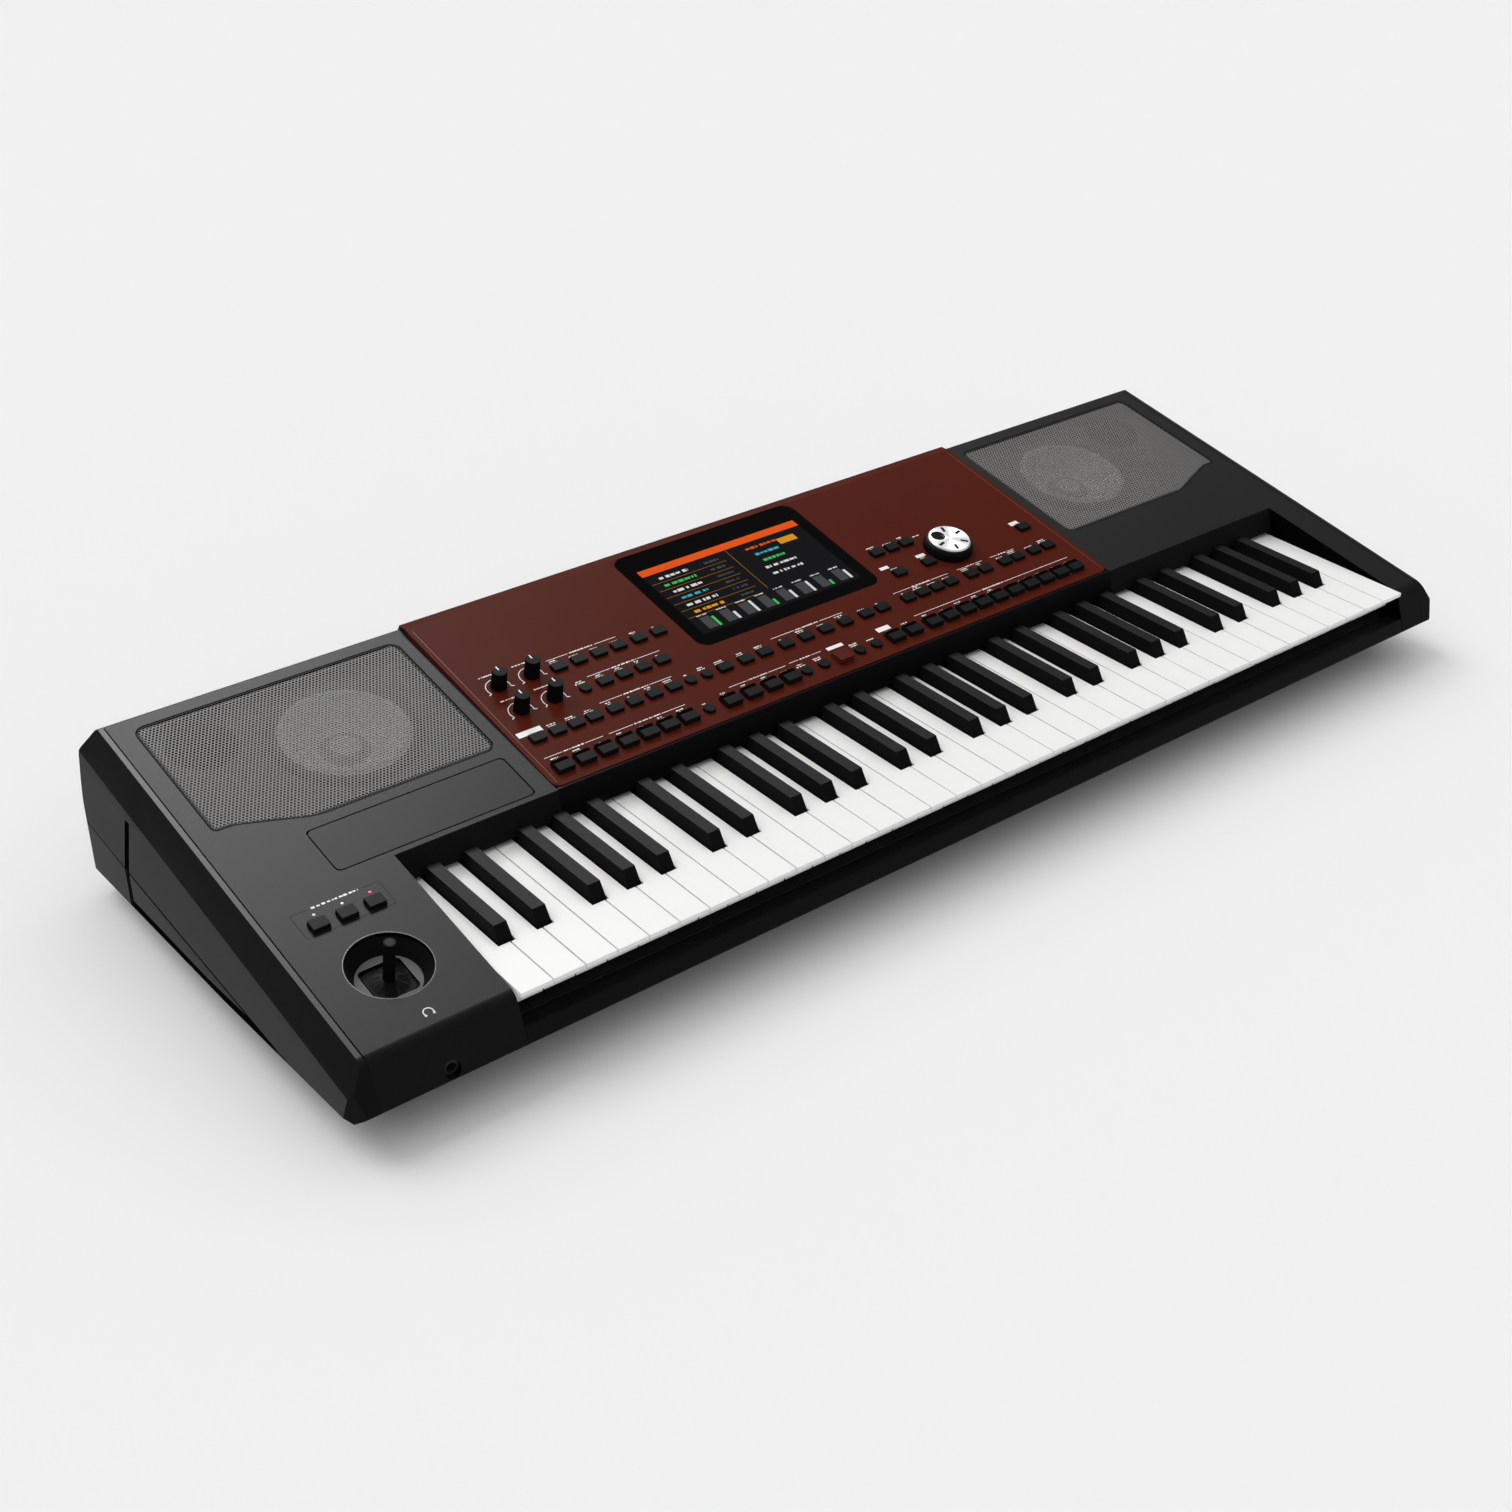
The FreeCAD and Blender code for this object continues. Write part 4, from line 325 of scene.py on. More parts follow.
@dataclass(frozen=True)
class TurnedFinish(Finish):
    """Spun metal: fine rings about a centre, and soft streaks round it that are painted reflection in its colour
    and also vary its roughness.
    """

    # Streaks of painted reflection round the centre: how many, and where they start.
    RAYS, PHASE = 3.0, 0.7
    AROUND, ACROSS, RINGS = 0.004, 6.0, 900.0
    SPREAD = 0.05

    surface: Slope = DECK
    centre: Spot = (0.0, 0.0)

    def dress(self, graph: Graph, shader: Node) -> None:
        """Adds rings about the centre on the surface, and streaks of painted reflection round it.

        Args:
            graph: The material's nodes.
            shader: The surface shader.
        """
        maths = graph.maths
        origin = self.surface.matrix(*self.centre).inverted()
        source = graph.add("ShaderNodeTexCoord").outputs["Object"]
        flat = graph.out("ShaderNodeMapping", {"Vector": source, "Location": origin.translation,
                                               "Rotation": origin.to_euler()})
        x, y, _ = graph.add("ShaderNodeSeparateXYZ", {0: flat}).outputs
        angle = maths("ARCTAN2", y, x)
        radius = maths("SQRT", maths("ADD", maths("POWER", x, 2.0), maths("POWER", y, 2.0)))
        wave = maths("SINE", maths("MULTIPLY_ADD", angle, self.RAYS, self.PHASE))
        sheen_streaks = maths("MULTIPLY_ADD", wave, 0.5, 0.5)
        polar = {0: maths("MULTIPLY", angle, self.AROUND), 1: maths("MULTIPLY", radius, self.ACROSS)}
        rings = self.noise(graph, graph.out("ShaderNodeCombineXYZ", polar), self.RINGS, 2.0)
        # The streaks lighten and darken the colour as painted reflection.
        self.tint(graph, shader, sheen_streaks, rings)
        base = graph.spread(rings, self.roughness - self.SPREAD, self.roughness + self.SPREAD)
        graph.feed(shader, {"Roughness": maths("ADD", graph.spread(sheen_streaks, 0.0, self.uneven), base)})
        self.raise_relief(graph, shader, rings)


class Finishes:
    """Every finish of the keyboard, named for what it covers."""

    deck = Finish("deck_charcoal", (0.008, 0.0081, 0.0084), 0.42, grain=0.55, relief=0.06, mottle=0.2,
                  gloss=0.018)
    # A little paler and glossier than the deck: on the side panels' top strips it is a painted highlight.
    deck_edge = Finish("deck_edge", (0.009, 0.0091, 0.0094), 0.4, grain=0.55, relief=0.04, mottle=0.2,
                       gloss=0.026)
    # A paler ring round the joystick's well: a painted highlight on its rim.
    rim_highlight = Finish("well_lip", (0.03, 0.03, 0.031), 0.35, mottle=0.2, gloss=0.05)
    trim = Finish("trim_black", (0.0055, 0.0055, 0.0057), 0.46, relief=0.03, mottle=0.2, gloss=0.03)
    # The bottom case's paler black; on the side panels' upright faces the same paler black is painted light.
    tray_and_painted_light_sides = Finish("tray_black", (0.028, 0.028, 0.029), 0.6, grain=0.9, relief=0.06, mottle=0.2, gloss=0.12)
    fascia = Finish("fascia_gloss", (0.004, 0.004, 0.0042), 0.2, grain=1.5, relief=0.004, mottle=0.15,
                    uneven=0.04, gloss=0.02)
    badge = Finish("badge_charcoal", (0.0075, 0.0076, 0.0079), 0.42, grain=0.6, relief=0.04, mottle=0.18,
                   gloss=0.016)
    panel = Finish("panel_paint", (0.079, 0.0118, 0.0058), 0.42, relief=0.04, mottle=0.18, gloss=0.004)
    # Paler red for thin lines along the panel's side edges: painted highlights.
    panel_edge = Finish("panel_edge", (0.15, 0.045, 0.03), 0.42, mottle=0.18, gloss=0.02)
    grille = Finish("grille_coat", (0.17, 0.167, 0.162), 0.55, grain=0.4, gloss=0.05)
    grille_edge = Finish("grille_edge", (0.006, 0.006, 0.006), 0.6, grain=0.4, gloss=0.02)
    white = Finish("white_key", (0.86, 0.86, 0.846), 0.34, grain=2.0, relief=0.004, mottle=0.02, gloss=0.02)
    black = Finish("black_key", (0.0055, 0.0055, 0.0058), 0.45, grain=1.1, relief=0.09, mottle=0.3,
                   gloss=0.012, stretch=(1.0, 0.05, 1.0))
    cap = Finish("cap_black", (0.008, 0.008, 0.0083), 0.42, mottle=0.2, gloss=0.008)
    start = Finish("cap_red", (0.085, 0.013, 0.009), 0.42, mottle=0.15, gloss=0.006)
    knob = Finish("knob_ribbed", (0.006, 0.006, 0.0063), 0.40, mottle=0.2, gloss=0.006)
    seam = Finish("seam_black", (0.002, 0.002, 0.002), 0.8, mottle=0.2, gloss=0.0)
    well = Finish("well_black", (0.006, 0.006, 0.0062), 0.55, relief=0.03, mottle=0.2, gloss=0.02)
    well_floor = Finish("well_floor_grey", (0.14, 0.14, 0.142), 0.6, relief=0.03, mottle=0.1, gloss=0.03)
    stick = Finish("stick_black", (0.005, 0.005, 0.0052), 0.5, grain=0.4, mottle=0.2, gloss=0.008)
    stick_end = Finish("stick_end_grey", (0.03, 0.03, 0.031), 0.5, grain=0.4, relief=0.03, gloss=0.01)
    rubber = Finish("foot_rubber", (0.009, 0.009, 0.009), 0.7, grain=0.4, relief=0.05, mottle=0.25,
                    gloss=0.15)
    dial_grip = Finish("dial_grip", (0.0045, 0.0045, 0.0045), 0.6, grain=0.4, relief=0.05, mottle=0.25,
                       gloss=0.02)
    # Its strong mottle carries the streaks of painted reflection.
    dial = TurnedFinish("dial_aluminium", (0.44, 0.44, 0.445), 0.26, 1.0, relief=0.004, mottle=0.6,
                        uneven=0.04, surface=PANEL, centre=PANEL.under(DIAL))
    dimple = Finish("dimple_black", (0.006, 0.006, 0.006), 0.18, grain=0.8, relief=0.004, gloss=0.02)
    glass = Finish("display_glass", (0.0025, 0.0025, 0.0028), 0.07, grain=3.0, relief=0.001, mottle=0.1,
                   uneven=0.03, gloss=0.004)
    ink = Finish("print_white", (0.78, 0.78, 0.77), 0.55, grain=0.2, relief=0.01, mottle=0.06, gloss=0.1)
    mark = Finish("mark_dark", (0.006, 0.006, 0.006), 0.5, grain=0.3, relief=0.01, gloss=0.01)
    steel = Finish("screw_steel", (0.33, 0.33, 0.34), 0.32, 1.0)
    paper = Finish("cone_paper", (0.72, 0.71, 0.69), 0.85, grain=1.2, relief=0.12, gloss=0.1)
    # Darker ring on the dust cap's sloping edge: painted shade.
    cap_edge_shade = Finish("cone_edge", (0.34, 0.337, 0.33), 0.8, grain=0.6, relief=0.04, gloss=0.1)
    frame_coat = Finish("driver_frame", (0.10, 0.10, 0.098), 0.6, grain=0.8, relief=0.05, gloss=0.1)
    baffle = Finish("baffle_grey", (0.13, 0.129, 0.127), 0.85, grain=1.2, relief=0.06, gloss=0.1)
    port = Finish("port_dark", (0.02, 0.02, 0.0195), 0.85, grain=1.2, relief=0.06, gloss=0.02)
    chassis = Finish("chassis_grey", (0.08, 0.08, 0.085), 0.6, grain=1.0, relief=0.05, gloss=0.2)
    felt = Finish("felt_strip", (0.02, 0.02, 0.022), 0.95, relief=0.2, mottle=0.3, gloss=0.1)
    board = Finish("board_lacquer", (0.02, 0.11, 0.04), 0.45, grain=2.0, mottle=0.25)
    supply = Finish("supply_sheet", (0.5, 0.5, 0.5), 0.35, 1.0, grain=1.0, relief=0.03,
                    stretch=(0.1, 1.0, 1.0))
    socket = Finish("socket_plastic", (0.010, 0.010, 0.010), 0.45, gloss=0.15)
    lcd_frame = Finish("lcd_frame", (0.3, 0.3, 0.3), 0.35, 1.0, grain=0.8)
    lamp_red = LitFinish("lamp_red", (0.75, 0.03, 0.03), 0.25)
    lamp_clear = Finish("lamp_clear", (0.80, 0.80, 0.80), 0.2, relief=0.0)
    screen = LitFinish("screen_ground", (0.006, 0.0062, 0.007), 0.12, gloss=0.004, glow=0.3)
    tiles = {name: LitFinish(f"screen_{name}", colour, 0.12, gloss=0.004, glow=0.1) for name, colour in (
        ("orange", (0.70, 0.085, 0.010)), ("green", (0.05, 0.46, 0.10)), ("cyan", (0.04, 0.36, 0.44)),
        ("white", (0.62, 0.62, 0.62)), ("amber", (0.62, 0.27, 0.015)), ("grey", (0.055, 0.057, 0.06)),
        ("line", (0.24, 0.095, 0.015)))}
    floor = Finish("floor_paper", (0.885, 0.885, 0.885), 0.9, grain=3.0, relief=0.0, mottle=0.004, gloss=0.0)


# Meshes and pieces


WELD = 2e-6
FLAT_WITHIN = math.radians(0.4)
# The least angles between faces, in degrees, that are rounded and that stay sharp in shading
SOFT_FROM, SHARP_FROM = 28.0, 32.0
# Faces across the roundings that are seen from close by
FINE = 3
GROOVE_DEPTH = 0.9
# The least part of a normal that looks to a side, into a joint, and squarely up or to a side
ASIDE, EDGE_ON, LEVEL = 0.3, 0.25, 0.93
BODY_OF = {node: body for body, nodes in frame["record"]["behaviour"]["bodies"].items() for node in nodes}


def new_object(name: str, mesh: Mesh) -> Piece:
    """Puts a mesh in the scene, at the origin.

    Args:
        name: The object's name.
        mesh: Its mesh.

    Returns:
        The object.
    """
    piece = bpy.data.objects.new(name, mesh)
    bpy.context.scene.collection.objects.link(piece)
    return piece


def settle(piece: Piece, body: str, slot: Slot, *nodes: str) -> Piece:
    """Puts a finished piece on its body and hides the solids it stands for.

    Args:
        piece: The piece, in its place.
        body: The body it moves with.
        slot: The record's slot for its finish; not used.
        nodes: Solids that it stands for.

    Returns:
        The same piece.
    """
    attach(piece, body)
    if nodes:
        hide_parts(*nodes)
    log.info("%s rides on %s with %d faces", piece.name, body, len(piece.data.polygons))
    return piece


def welded(node: str, whole: bool = False) -> BMesh:
    """Copies a solid's mesh and joins its corners.

    Args:
        node: The solid.
        whole: Whether its flat faces are made whole too.

    Returns:
        The working mesh.
    """
    bm = bmesh.new()
    bm.from_mesh(frame["nodes"][node].data)
    bmesh.ops.remove_doubles(bm, verts=bm.verts, dist=WELD)
    if whole:
        bmesh.ops.dissolve_limit(bm, angle_limit=FLAT_WITHIN, verts=bm.verts, edges=bm.edges)
    return bm


def soften(bm: BMesh, width: float, segments: int, angle: float) -> None:
    """Rounds the edges that are sharper than an angle.

    Args:
        bm: The mesh.
        width: Width of the rounding in millimetres.
        segments: Faces across it.
        angle: The least angle between two faces, in degrees.
    """
    limit = math.radians(angle)
    edges = [e for e in bm.edges if len(e.link_faces) == 2 and e.calc_face_angle(0.0) > limit]
    bmesh.ops.bevel(bm, geom=edges, offset=width * MM, segments=segments, profile=0.5, affect="EDGES",
                    offset_type="OFFSET", clamp_overlap=True, harden_normals=False, loop_slide=True)


def part_ends(bm: BMesh, plane: Plane) -> None:
    """Parts the faces at the ends of the keyboard along a plane.

    Args:
        bm: The mesh.
        plane: A point of the plane, in millimetres, and its normal.
    """
    bm.normal_update()
    ends = [face for face in bm.faces if abs(face.normal.x) > ASIDE]
    parts = ends + list({e for f in ends for e in f.edges}) + list({v for f in ends for v in f.verts})
    bmesh.ops.bisect_plane(bm, geom=parts, dist=1e-6, plane_co=plane[0] * MM, plane_no=plane[1])


def sink(bm: BMesh, faces: list[bmesh.types.BMFace], depth: float) -> None:
    """Sets faces deeper into their solid, with walls of the same finish round them.

    Args:
        bm: The mesh.
        faces: The faces, side by side.
        depth: How much deeper, in millimetres.
    """
    if faces:
        index = faces[0].material_index
        walls = bmesh.ops.inset_region(bm, faces=faces, thickness=0.1 * MM, depth=-depth * MM,
                                       use_boundary=True, use_even_offset=True)["faces"]
        for wall in walls:
            wall.material_index = index


def to_piece(name: str, bm: BMesh, *finishes: Finish, smooth: float = SHARP_FROM) -> Piece:
    """Turns a working mesh into an object.

    Args:
        name: The object's name.
        bm: The working mesh, which is freed.
        finishes: Its finishes, in the order of its faces' material numbers.
        smooth: The least angle between faces that stays sharp in shading, in degrees.

    Returns:
        The object, not yet on a body.
    """
    mesh = bpy.data.meshes.new(name)
    bm.to_mesh(mesh)
    bm.free()
    for finish in finishes:
        mesh.materials.append(finish.make())
    mesh.shade_smooth()
    mesh.set_sharp_from_angle(angle=math.radians(smooth))
    return new_object(name, mesh)


def even_shading(piece: Piece) -> None:
    """Keeps wide flat faces flat in shading beside their rounded edges.

    Args:
        piece: The piece, which gets a new mesh.
    """
    modifier = piece.modifiers.new("even_shading", "WEIGHTED_NORMAL")
    modifier.keep_sharp = True
    graph = bpy.context.evaluated_depsgraph_get()
    shaded = piece.evaluated_get(graph)
    mesh = bpy.data.meshes.new_from_object(shaded, preserve_all_data_layers=True, depsgraph=graph)
    piece.modifiers.remove(modifier)
    mesh.name = piece.name
    piece.data = mesh


def dress(node: str, finish: Finish, slot: Slot, width: float = 0.0, segments: int = 2,
          zones: Sequence[tuple[Finish, FaceTest]] = (), splits: Sequence[Plane] = (),
          sunk: FaceTest | None = None) -> None:
    """Stands a piece with softened edges and a real finish in a solid's place.

    Args:
        node: The solid.
        finish: Its finish.
        slot: Its slot in the record.
        width: Width of the rounded edges in millimetres, or nought for none.
        segments: Faces across a rounded edge.
        zones: Other finishes, each with a test of a face's centre and normal, in metres.
        splits: Planes that part the faces at the ends of the keyboard.
        sunk: A test of the faces that lie deeper than those beside them.
    """
    bm = welded(node, whole=True)
    if width:
        soften(bm, width, segments, SOFT_FROM)
    for plane in splits:
        part_ends(bm, plane)
    bm.normal_update()
    for face in bm.faces:
        spot = face.calc_center_median()
        face.material_index = next((n for n, (_, test) in enumerate(zones, 1) if test(spot, face.normal)), 0)
    if sunk:
        sink(bm, [face for face in bm.faces if sunk(face.calc_center_median(), face.normal)], GROOVE_DEPTH)
    piece = to_piece(f"{node}_dressed", bm, finish, *(other for other, _ in zones))
    even_shading(piece)
    settle(piece, BODY_OF[node], slot, node)


def paint(node: str, finish: Finish) -> None:
    """Gives a solid that stays as it is a real finish.

    Args:
        node: The solid.
        finish: Its finish.
    """
    materials = frame["nodes"][node].data.materials
    materials.clear()
    materials.append(finish.make())
    log.info("%s keeps its solid", node)


def islands(node: str, surface: Slope) -> list[Triple]:
    """Where the separate solids of a node stand on a surface.

    Args:
        node: The node.
        surface: The surface.

    Returns:
        For each solid its plan place and its height over the surface, in millimetres, from left to right.
    """
    bm = welded(node)
    found, seen = [], set()
    for seed in bm.verts:
        if seed in seen:
            continue
        seen.add(seed)
        stack, spots = [seed], []
        while stack:
            vert = stack.pop()
            spots.append(surface.plan_of(vert.co))
            fresh = {edge.other_vert(vert) for edge in vert.link_edges} - seen
            seen |= fresh
            stack.extend(fresh)
        ends = [(min(s[i] for s in spots), max(s[i] for s in spots)) for i in range(3)]
        found.append((sum(ends[0]) / 2, sum(ends[1]) / 2, ends[2][1]))
    bm.free()
    return sorted(found)


class NodeShape:
    """A geometry tree with named inputs that is run and leaves a plain mesh."""

    KINDS = {float: "NodeSocketFloat", int: "NodeSocketInt", Piece: "NodeSocketObject",
             Material: "NodeSocketMaterial"}

    def __init__(self, name: str, inputs: dict[str, type]) -> None:
        """Makes the tree and its sockets.

        Args:
            name: The tree's name.
            inputs: The kind of each named input.
        """
        tree = bpy.data.node_groups.new(name, "GeometryNodeTree")
        self.graph = Graph(tree)
        tree.interface.new_socket("Geometry", in_out="INPUT", socket_type="NodeSocketGeometry")
        self.keys = {}
        for title, kind in inputs.items():
            socket = tree.interface.new_socket(title, in_out="INPUT", socket_type=self.KINDS[kind])
            self.keys[title] = socket.identifier
        tree.interface.new_socket("Geometry", in_out="OUTPUT", socket_type="NodeSocketGeometry")
        self.source = self.graph.add("NodeGroupInput").outputs

    def finish(self, instances: Link) -> None:
        """Ends the tree: real geometry, welded where it meets, in its material.

        Args:
            instances: What the tree has set out.
        """
        out = self.graph.out
        real = out("GeometryNodeRealizeInstances", {0: instances})
        weld = out("GeometryNodeMergeByDistance", {"Geometry": real, "Distance": WELD})
        done = out("GeometryNodeSetMaterial", {"Geometry": weld, "Material": self.source["Material"]})
        self.graph.add("NodeGroupOutput", {0: done})

    def run(self, base: Mesh, values: dict[str, Any]) -> Mesh:
        """Runs the tree on a mesh.

        Args:
            base: What the tree starts from.
            values: A value for each named input.

        Returns:
            The result as a plain mesh.
        """
        holder = new_object("node_shape", base)
        modifier = holder.modifiers.new("shape", "NODES")
        modifier.node_group = self.graph.tree
        for title, value in values.items():
            modifier[self.keys[title]] = value
        bpy.context.view_layer.update()
        evaluated = holder.evaluated_get(bpy.context.evaluated_depsgraph_get())
        mesh = bpy.data.meshes.new_from_object(evaluated)
        holder.modifiers.remove(modifier)
        bpy.data.objects.remove(holder)
        return mesh


@dataclass
class Marks:
    """Flat marks on a surface: printed bars, lit tiles and inlaid strips, set out by one geometry tree."""

    STEPS = (0.5, 1.9)
    TALLS = (0.72, 0.85, 1.0)
    GAPS = (0.28, 0.35, 0.8)
    LEAST = 0.3
    LAP = 1.12

    surface: Slope
    up: float = 0.0
    thick: float = 0.06
    spots: list[tuple[float, float, float, float, float]] = field(default_factory=list)

    def bar(self, x: float, y: float, width: float, depth: float, turn: float = 0.0) -> None:
        """Adds a bar about a plan place, with its sizes and turn, in millimetres and radians."""
        self.spots.append((x, y, width, depth, turn))

    def words(self, x: float, y: float, width: float, tall: float, dice: Dice) -> None:
        """Adds a row of short strokes that reads as small print.

        Args:
            x: Middle of the row, in millimetres.
            y: Its place along the depth, in millimetres.
            width: Its length.
            tall: The strokes' height.
            dice: A seeded source for the strokes' lengths.
        """
        at, end = x - width / 2, x + width / 2
        while at < end - self.LEAST:
            step = min(tall * dice.uniform(*self.STEPS), end - at)
            self.bar(at + step / 2, y, step, tall * dice.choice(self.TALLS))
            at += step + tall * dice.choice(self.GAPS)

    def arc(self, x: float, y: float, radius: float, width: float, start: float, end: float,
            steps: int) -> None:
        """Adds an arc of short bars.

        Args:
            x: Plan place of its middle along the keys, in millimetres.
            y: Plan place of its middle along the depth.
            radius: Its radius.
            width: Width of the line.
            start: The angle where it starts, in degrees.
            end: The angle where it ends.
            steps: How many bars it has.
        """
        length = math.radians(abs(end - start)) / steps * radius * self.LAP
        for i in range(steps):
            angle = math.radians(start + (end - start) * (i + 0.5) / steps)
            self.bar(x + radius * math.cos(angle), y + radius * math.sin(angle), width, length, angle)

    def lay(self, name: str, finish: Finish, slot: Slot, body: str = "casing") -> None:
        """Makes all the marks as one piece of thin closed tiles.

        Args:
            name: The piece's name.
            finish: Its finish.
            slot: The record's slot for it.
            body: The body it moves with.
        """
        base = bpy.data.meshes.new(name)
        base.from_pydata([self.surface.matrix(x, y, self.up).translation for x, y, *_ in self.spots], [], [])
        sizes = base.attributes.new("mark_size", "FLOAT_VECTOR", "POINT")
        turns = base.attributes.new("mark_turn", "FLOAT_VECTOR", "POINT")
        for i, (_, _, width, depth, turn) in enumerate(self.spots):
            sizes.data[i].vector = (width * MM, depth * MM, self.thick * MM)
            turns.data[i].vector = self.surface.turned(turn).to_euler()
        mesh = self.tree().run(base, {"Material": finish.make()})
        mesh.name = name
        settle(new_object(name, mesh), body, slot)

    @staticmethod
    @cache
    def tree() -> NodeShape:
        """Makes the tree that puts a sized and turned tile on each point.

        Returns:
            The tree.
        """
        shape = NodeShape("marks_on_points", {"Material": Material})
        out = shape.graph.out
        size, turn = (out("GeometryNodeInputNamedAttribute", {"Name": name}, data_type="FLOAT_VECTOR")
                      for name in ("mark_size", "mark_turn"))
        tile = out("GeometryNodeMeshCube", {"Size": (1.0, 1.0, 1.0)})
        points = out("GeometryNodeMeshToPoints", {"Mesh": shape.source["Geometry"]})
        each = {"Points": points, "Instance": tile, "Rotation": turn, "Scale": size}
        shape.finish(out("GeometryNodeInstanceOnPoints", each))
        return shape


# Sub-assemblies


@dataclass
class Casing:
    """The mouldings of the case, its feet and its screws."""

    edge: float = 0.9
    groove_y: float = 107.3
    groove_half: float = 3.1
    groove_top: float = 89.5
    groove_end: float = -118.0
    seam: Plane = (Vector((0.0, 0.0, 41.3)), Vector((0.0, -0.1092, 0.994)))
    foot: Plane = (Vector((0.0, 0.0, 34.2)), Vector((0.0, 0.0253, 0.9997)))
    rim: Spot = (160.0, 169.0)
    rim_low: float = 120.0
    joint_x: float = 487.0
    joint: Triple = (2.0, 0.9, 335.0)
    # Radius and width of the painted highlight ring round the joystick's well.
    rim_highlight: tuple[float, float] = (27.1, 0.6)
    well: Spot = DECK.under(STICK)
    near_well: float = 30.0

    def build(self) -> None:
        """Dresses every moulding, with nearly black joints and darker chamfers; the side panels' paler upright
        faces are painted light, their paler top strips a painted highlight, and a paler ring round the joystick's
        well a painted highlight.
        """
        for node in ("left_top_cover", "right_top_cover"):
            dress(node, Finishes.deck, Slot.CASE, self.edge, zones=[(Finishes.seam, self.in_joint)])
        self.sides_and_tray()
        dress("key_slip", Finishes.trim, Slot.TRIM, self.edge)
        dress("keyslot_fascia", Finishes.fascia, Slot.CASE, self.edge)
        dress("badge_plate", Finishes.badge, Slot.BADGE, 0.35)
        dress("feet", Finishes.rubber, Slot.RUBBER, 1.2, FINE)
        dress("screws", Finishes.steel, Slot.STEEL, 0.25)
        joints = Marks(DECK)
        for side in (-1, 1):
            joints.bar(side * self.joint_x, *self.joint)
        joints.lay("deck_joints", Finishes.seam, Slot.TRIM)
        # A paler ring round the joystick's well: a painted highlight on its rim.
        rim_highlight = Marks(DECK)
        rim_highlight.arc(*self.well, *self.rim_highlight, 0.0, 360.0, 60)
        rim_highlight.lay("well_lip", Finishes.rim_highlight, Slot.CASE)

    def sides_and_tray(self) -> None:
        """Dresses the side panels, the rear panel and the bottom case, and sinks the groove down each side; the
        side panels' paler top strips are a painted highlight and their paler upright faces painted light.
        """
        along, up = Vector((0.0, 1.0, 0.0)), Vector((0.0, 0.0, 1.0))
        walls = [(along * (self.groove_y + step), along) for step in (-self.groove_half, self.groove_half)]
        top, front = (up * self.groove_top, up), (along * self.groove_end, along)
        for node, out in (("left_side_panel", -1), ("right_side_panel", 1)):
            # The side panels' paler top strips are a painted highlight and their paler upright faces painted
            # light.
            dress(node, Finishes.trim, Slot.TRIM, self.edge, splits=[*walls, top], sunk=self.upright,
                  zones=[(Finishes.seam, partial(self.behind, out)), (Finishes.seam, self.in_groove),
                         (Finishes.deck_edge, lambda centre, normal: normal.z > LEVEL),
                         (Finishes.tray_and_painted_light_sides, lambda centre, normal: abs(normal.x) > LEVEL)])
        dress("rear_panel", Finishes.trim, Slot.TRIM, self.edge, zones=[(Finishes.panel, self.on_rim)])
        dress("bottom_case", Finishes.tray_and_painted_light_sides, Slot.TRIM, self.edge, sunk=self.upright,
              splits=[*walls, front, self.seam, self.foot],
              zones=[(Finishes.seam, self.over_seam), (Finishes.seam, self.in_groove)])

    @staticmethod
    def over(plane: Plane, spot: Vector) -> bool:
        """Whether a spot in metres lies over a plane."""
        return (spot / MM - plane[0]).dot(plane[1]) > 0.0

    @staticmethod
    def behind(out: int, centre: Vector, normal: Vector) -> bool:
        """Whether a face of a side panel looks inward or down, into a joint."""
        return normal.x * out < -EDGE_ON or normal.z < -EDGE_ON

    def over_seam(self, centre: Vector, normal: Vector) -> bool:
        """Whether a face of the bottom case looks up into its joint or lies over the seam."""
        return normal.z > EDGE_ON or self.over(self.seam, centre)

    def in_joint(self, centre: Vector, normal: Vector) -> bool:
        """Whether a face of a top cover looks into a joint, the rim of the joystick's well aside."""
        rim_highlight = math.dist(self.well, (centre.x / MM, centre.y / MM)) < self.near_well and normal.z > 0.2
        return abs(normal.x) > EDGE_ON and not rim_highlight

    def in_groove(self, centre: Vector, normal: Vector) -> bool:
        """Tells the faces painted near-black for the groove, which runs down a side, and for a band forward along
        its foot.

        Args:
            centre: A face's centre, in metres.
            normal: Its normal.

        Returns:
            Whether the face is part of it.
        """
        if centre.z / MM > self.groove_top or abs(normal.x) < ASIDE:
            return False
        y = centre.y / MM
        low = self.groove_end < y < self.groove_y and not self.over(self.foot, centre)
        return low or abs(y - self.groove_y) < self.groove_half

    def upright(self, centre: Vector, normal: Vector) -> bool:
        """Whether a face is part of the groove's upright run."""
        inside = abs(centre.y / MM - self.groove_y) < self.groove_half and abs(normal.x) > 0.85
        return inside and self.in_groove(centre, normal)

    def on_rim(self, centre: Vector, normal: Vector) -> bool:
        """Whether a face is the painted top of the rim behind the panel."""
        return self.rim[0] < centre.y / MM < self.rim[1] and normal.z > LEVEL and centre.z / MM > self.rim_low


@dataclass
class Keys:
    """The white and black keys, by note name."""

    white_edge: float = 0.7
    black_edge: float = 0.8

    def build(self) -> None:
        """Dresses the twelve groups of keys."""
        for node in frame["nodes"]:
            if node.startswith("keys_"):
                sharp = "sharp" in node
                finish, slot = (Finishes.black, Slot.BLACK) if sharp else (Finishes.white, Slot.WHITE)
                dress(node, finish, slot, self.black_edge if sharp else self.white_edge, FINE)


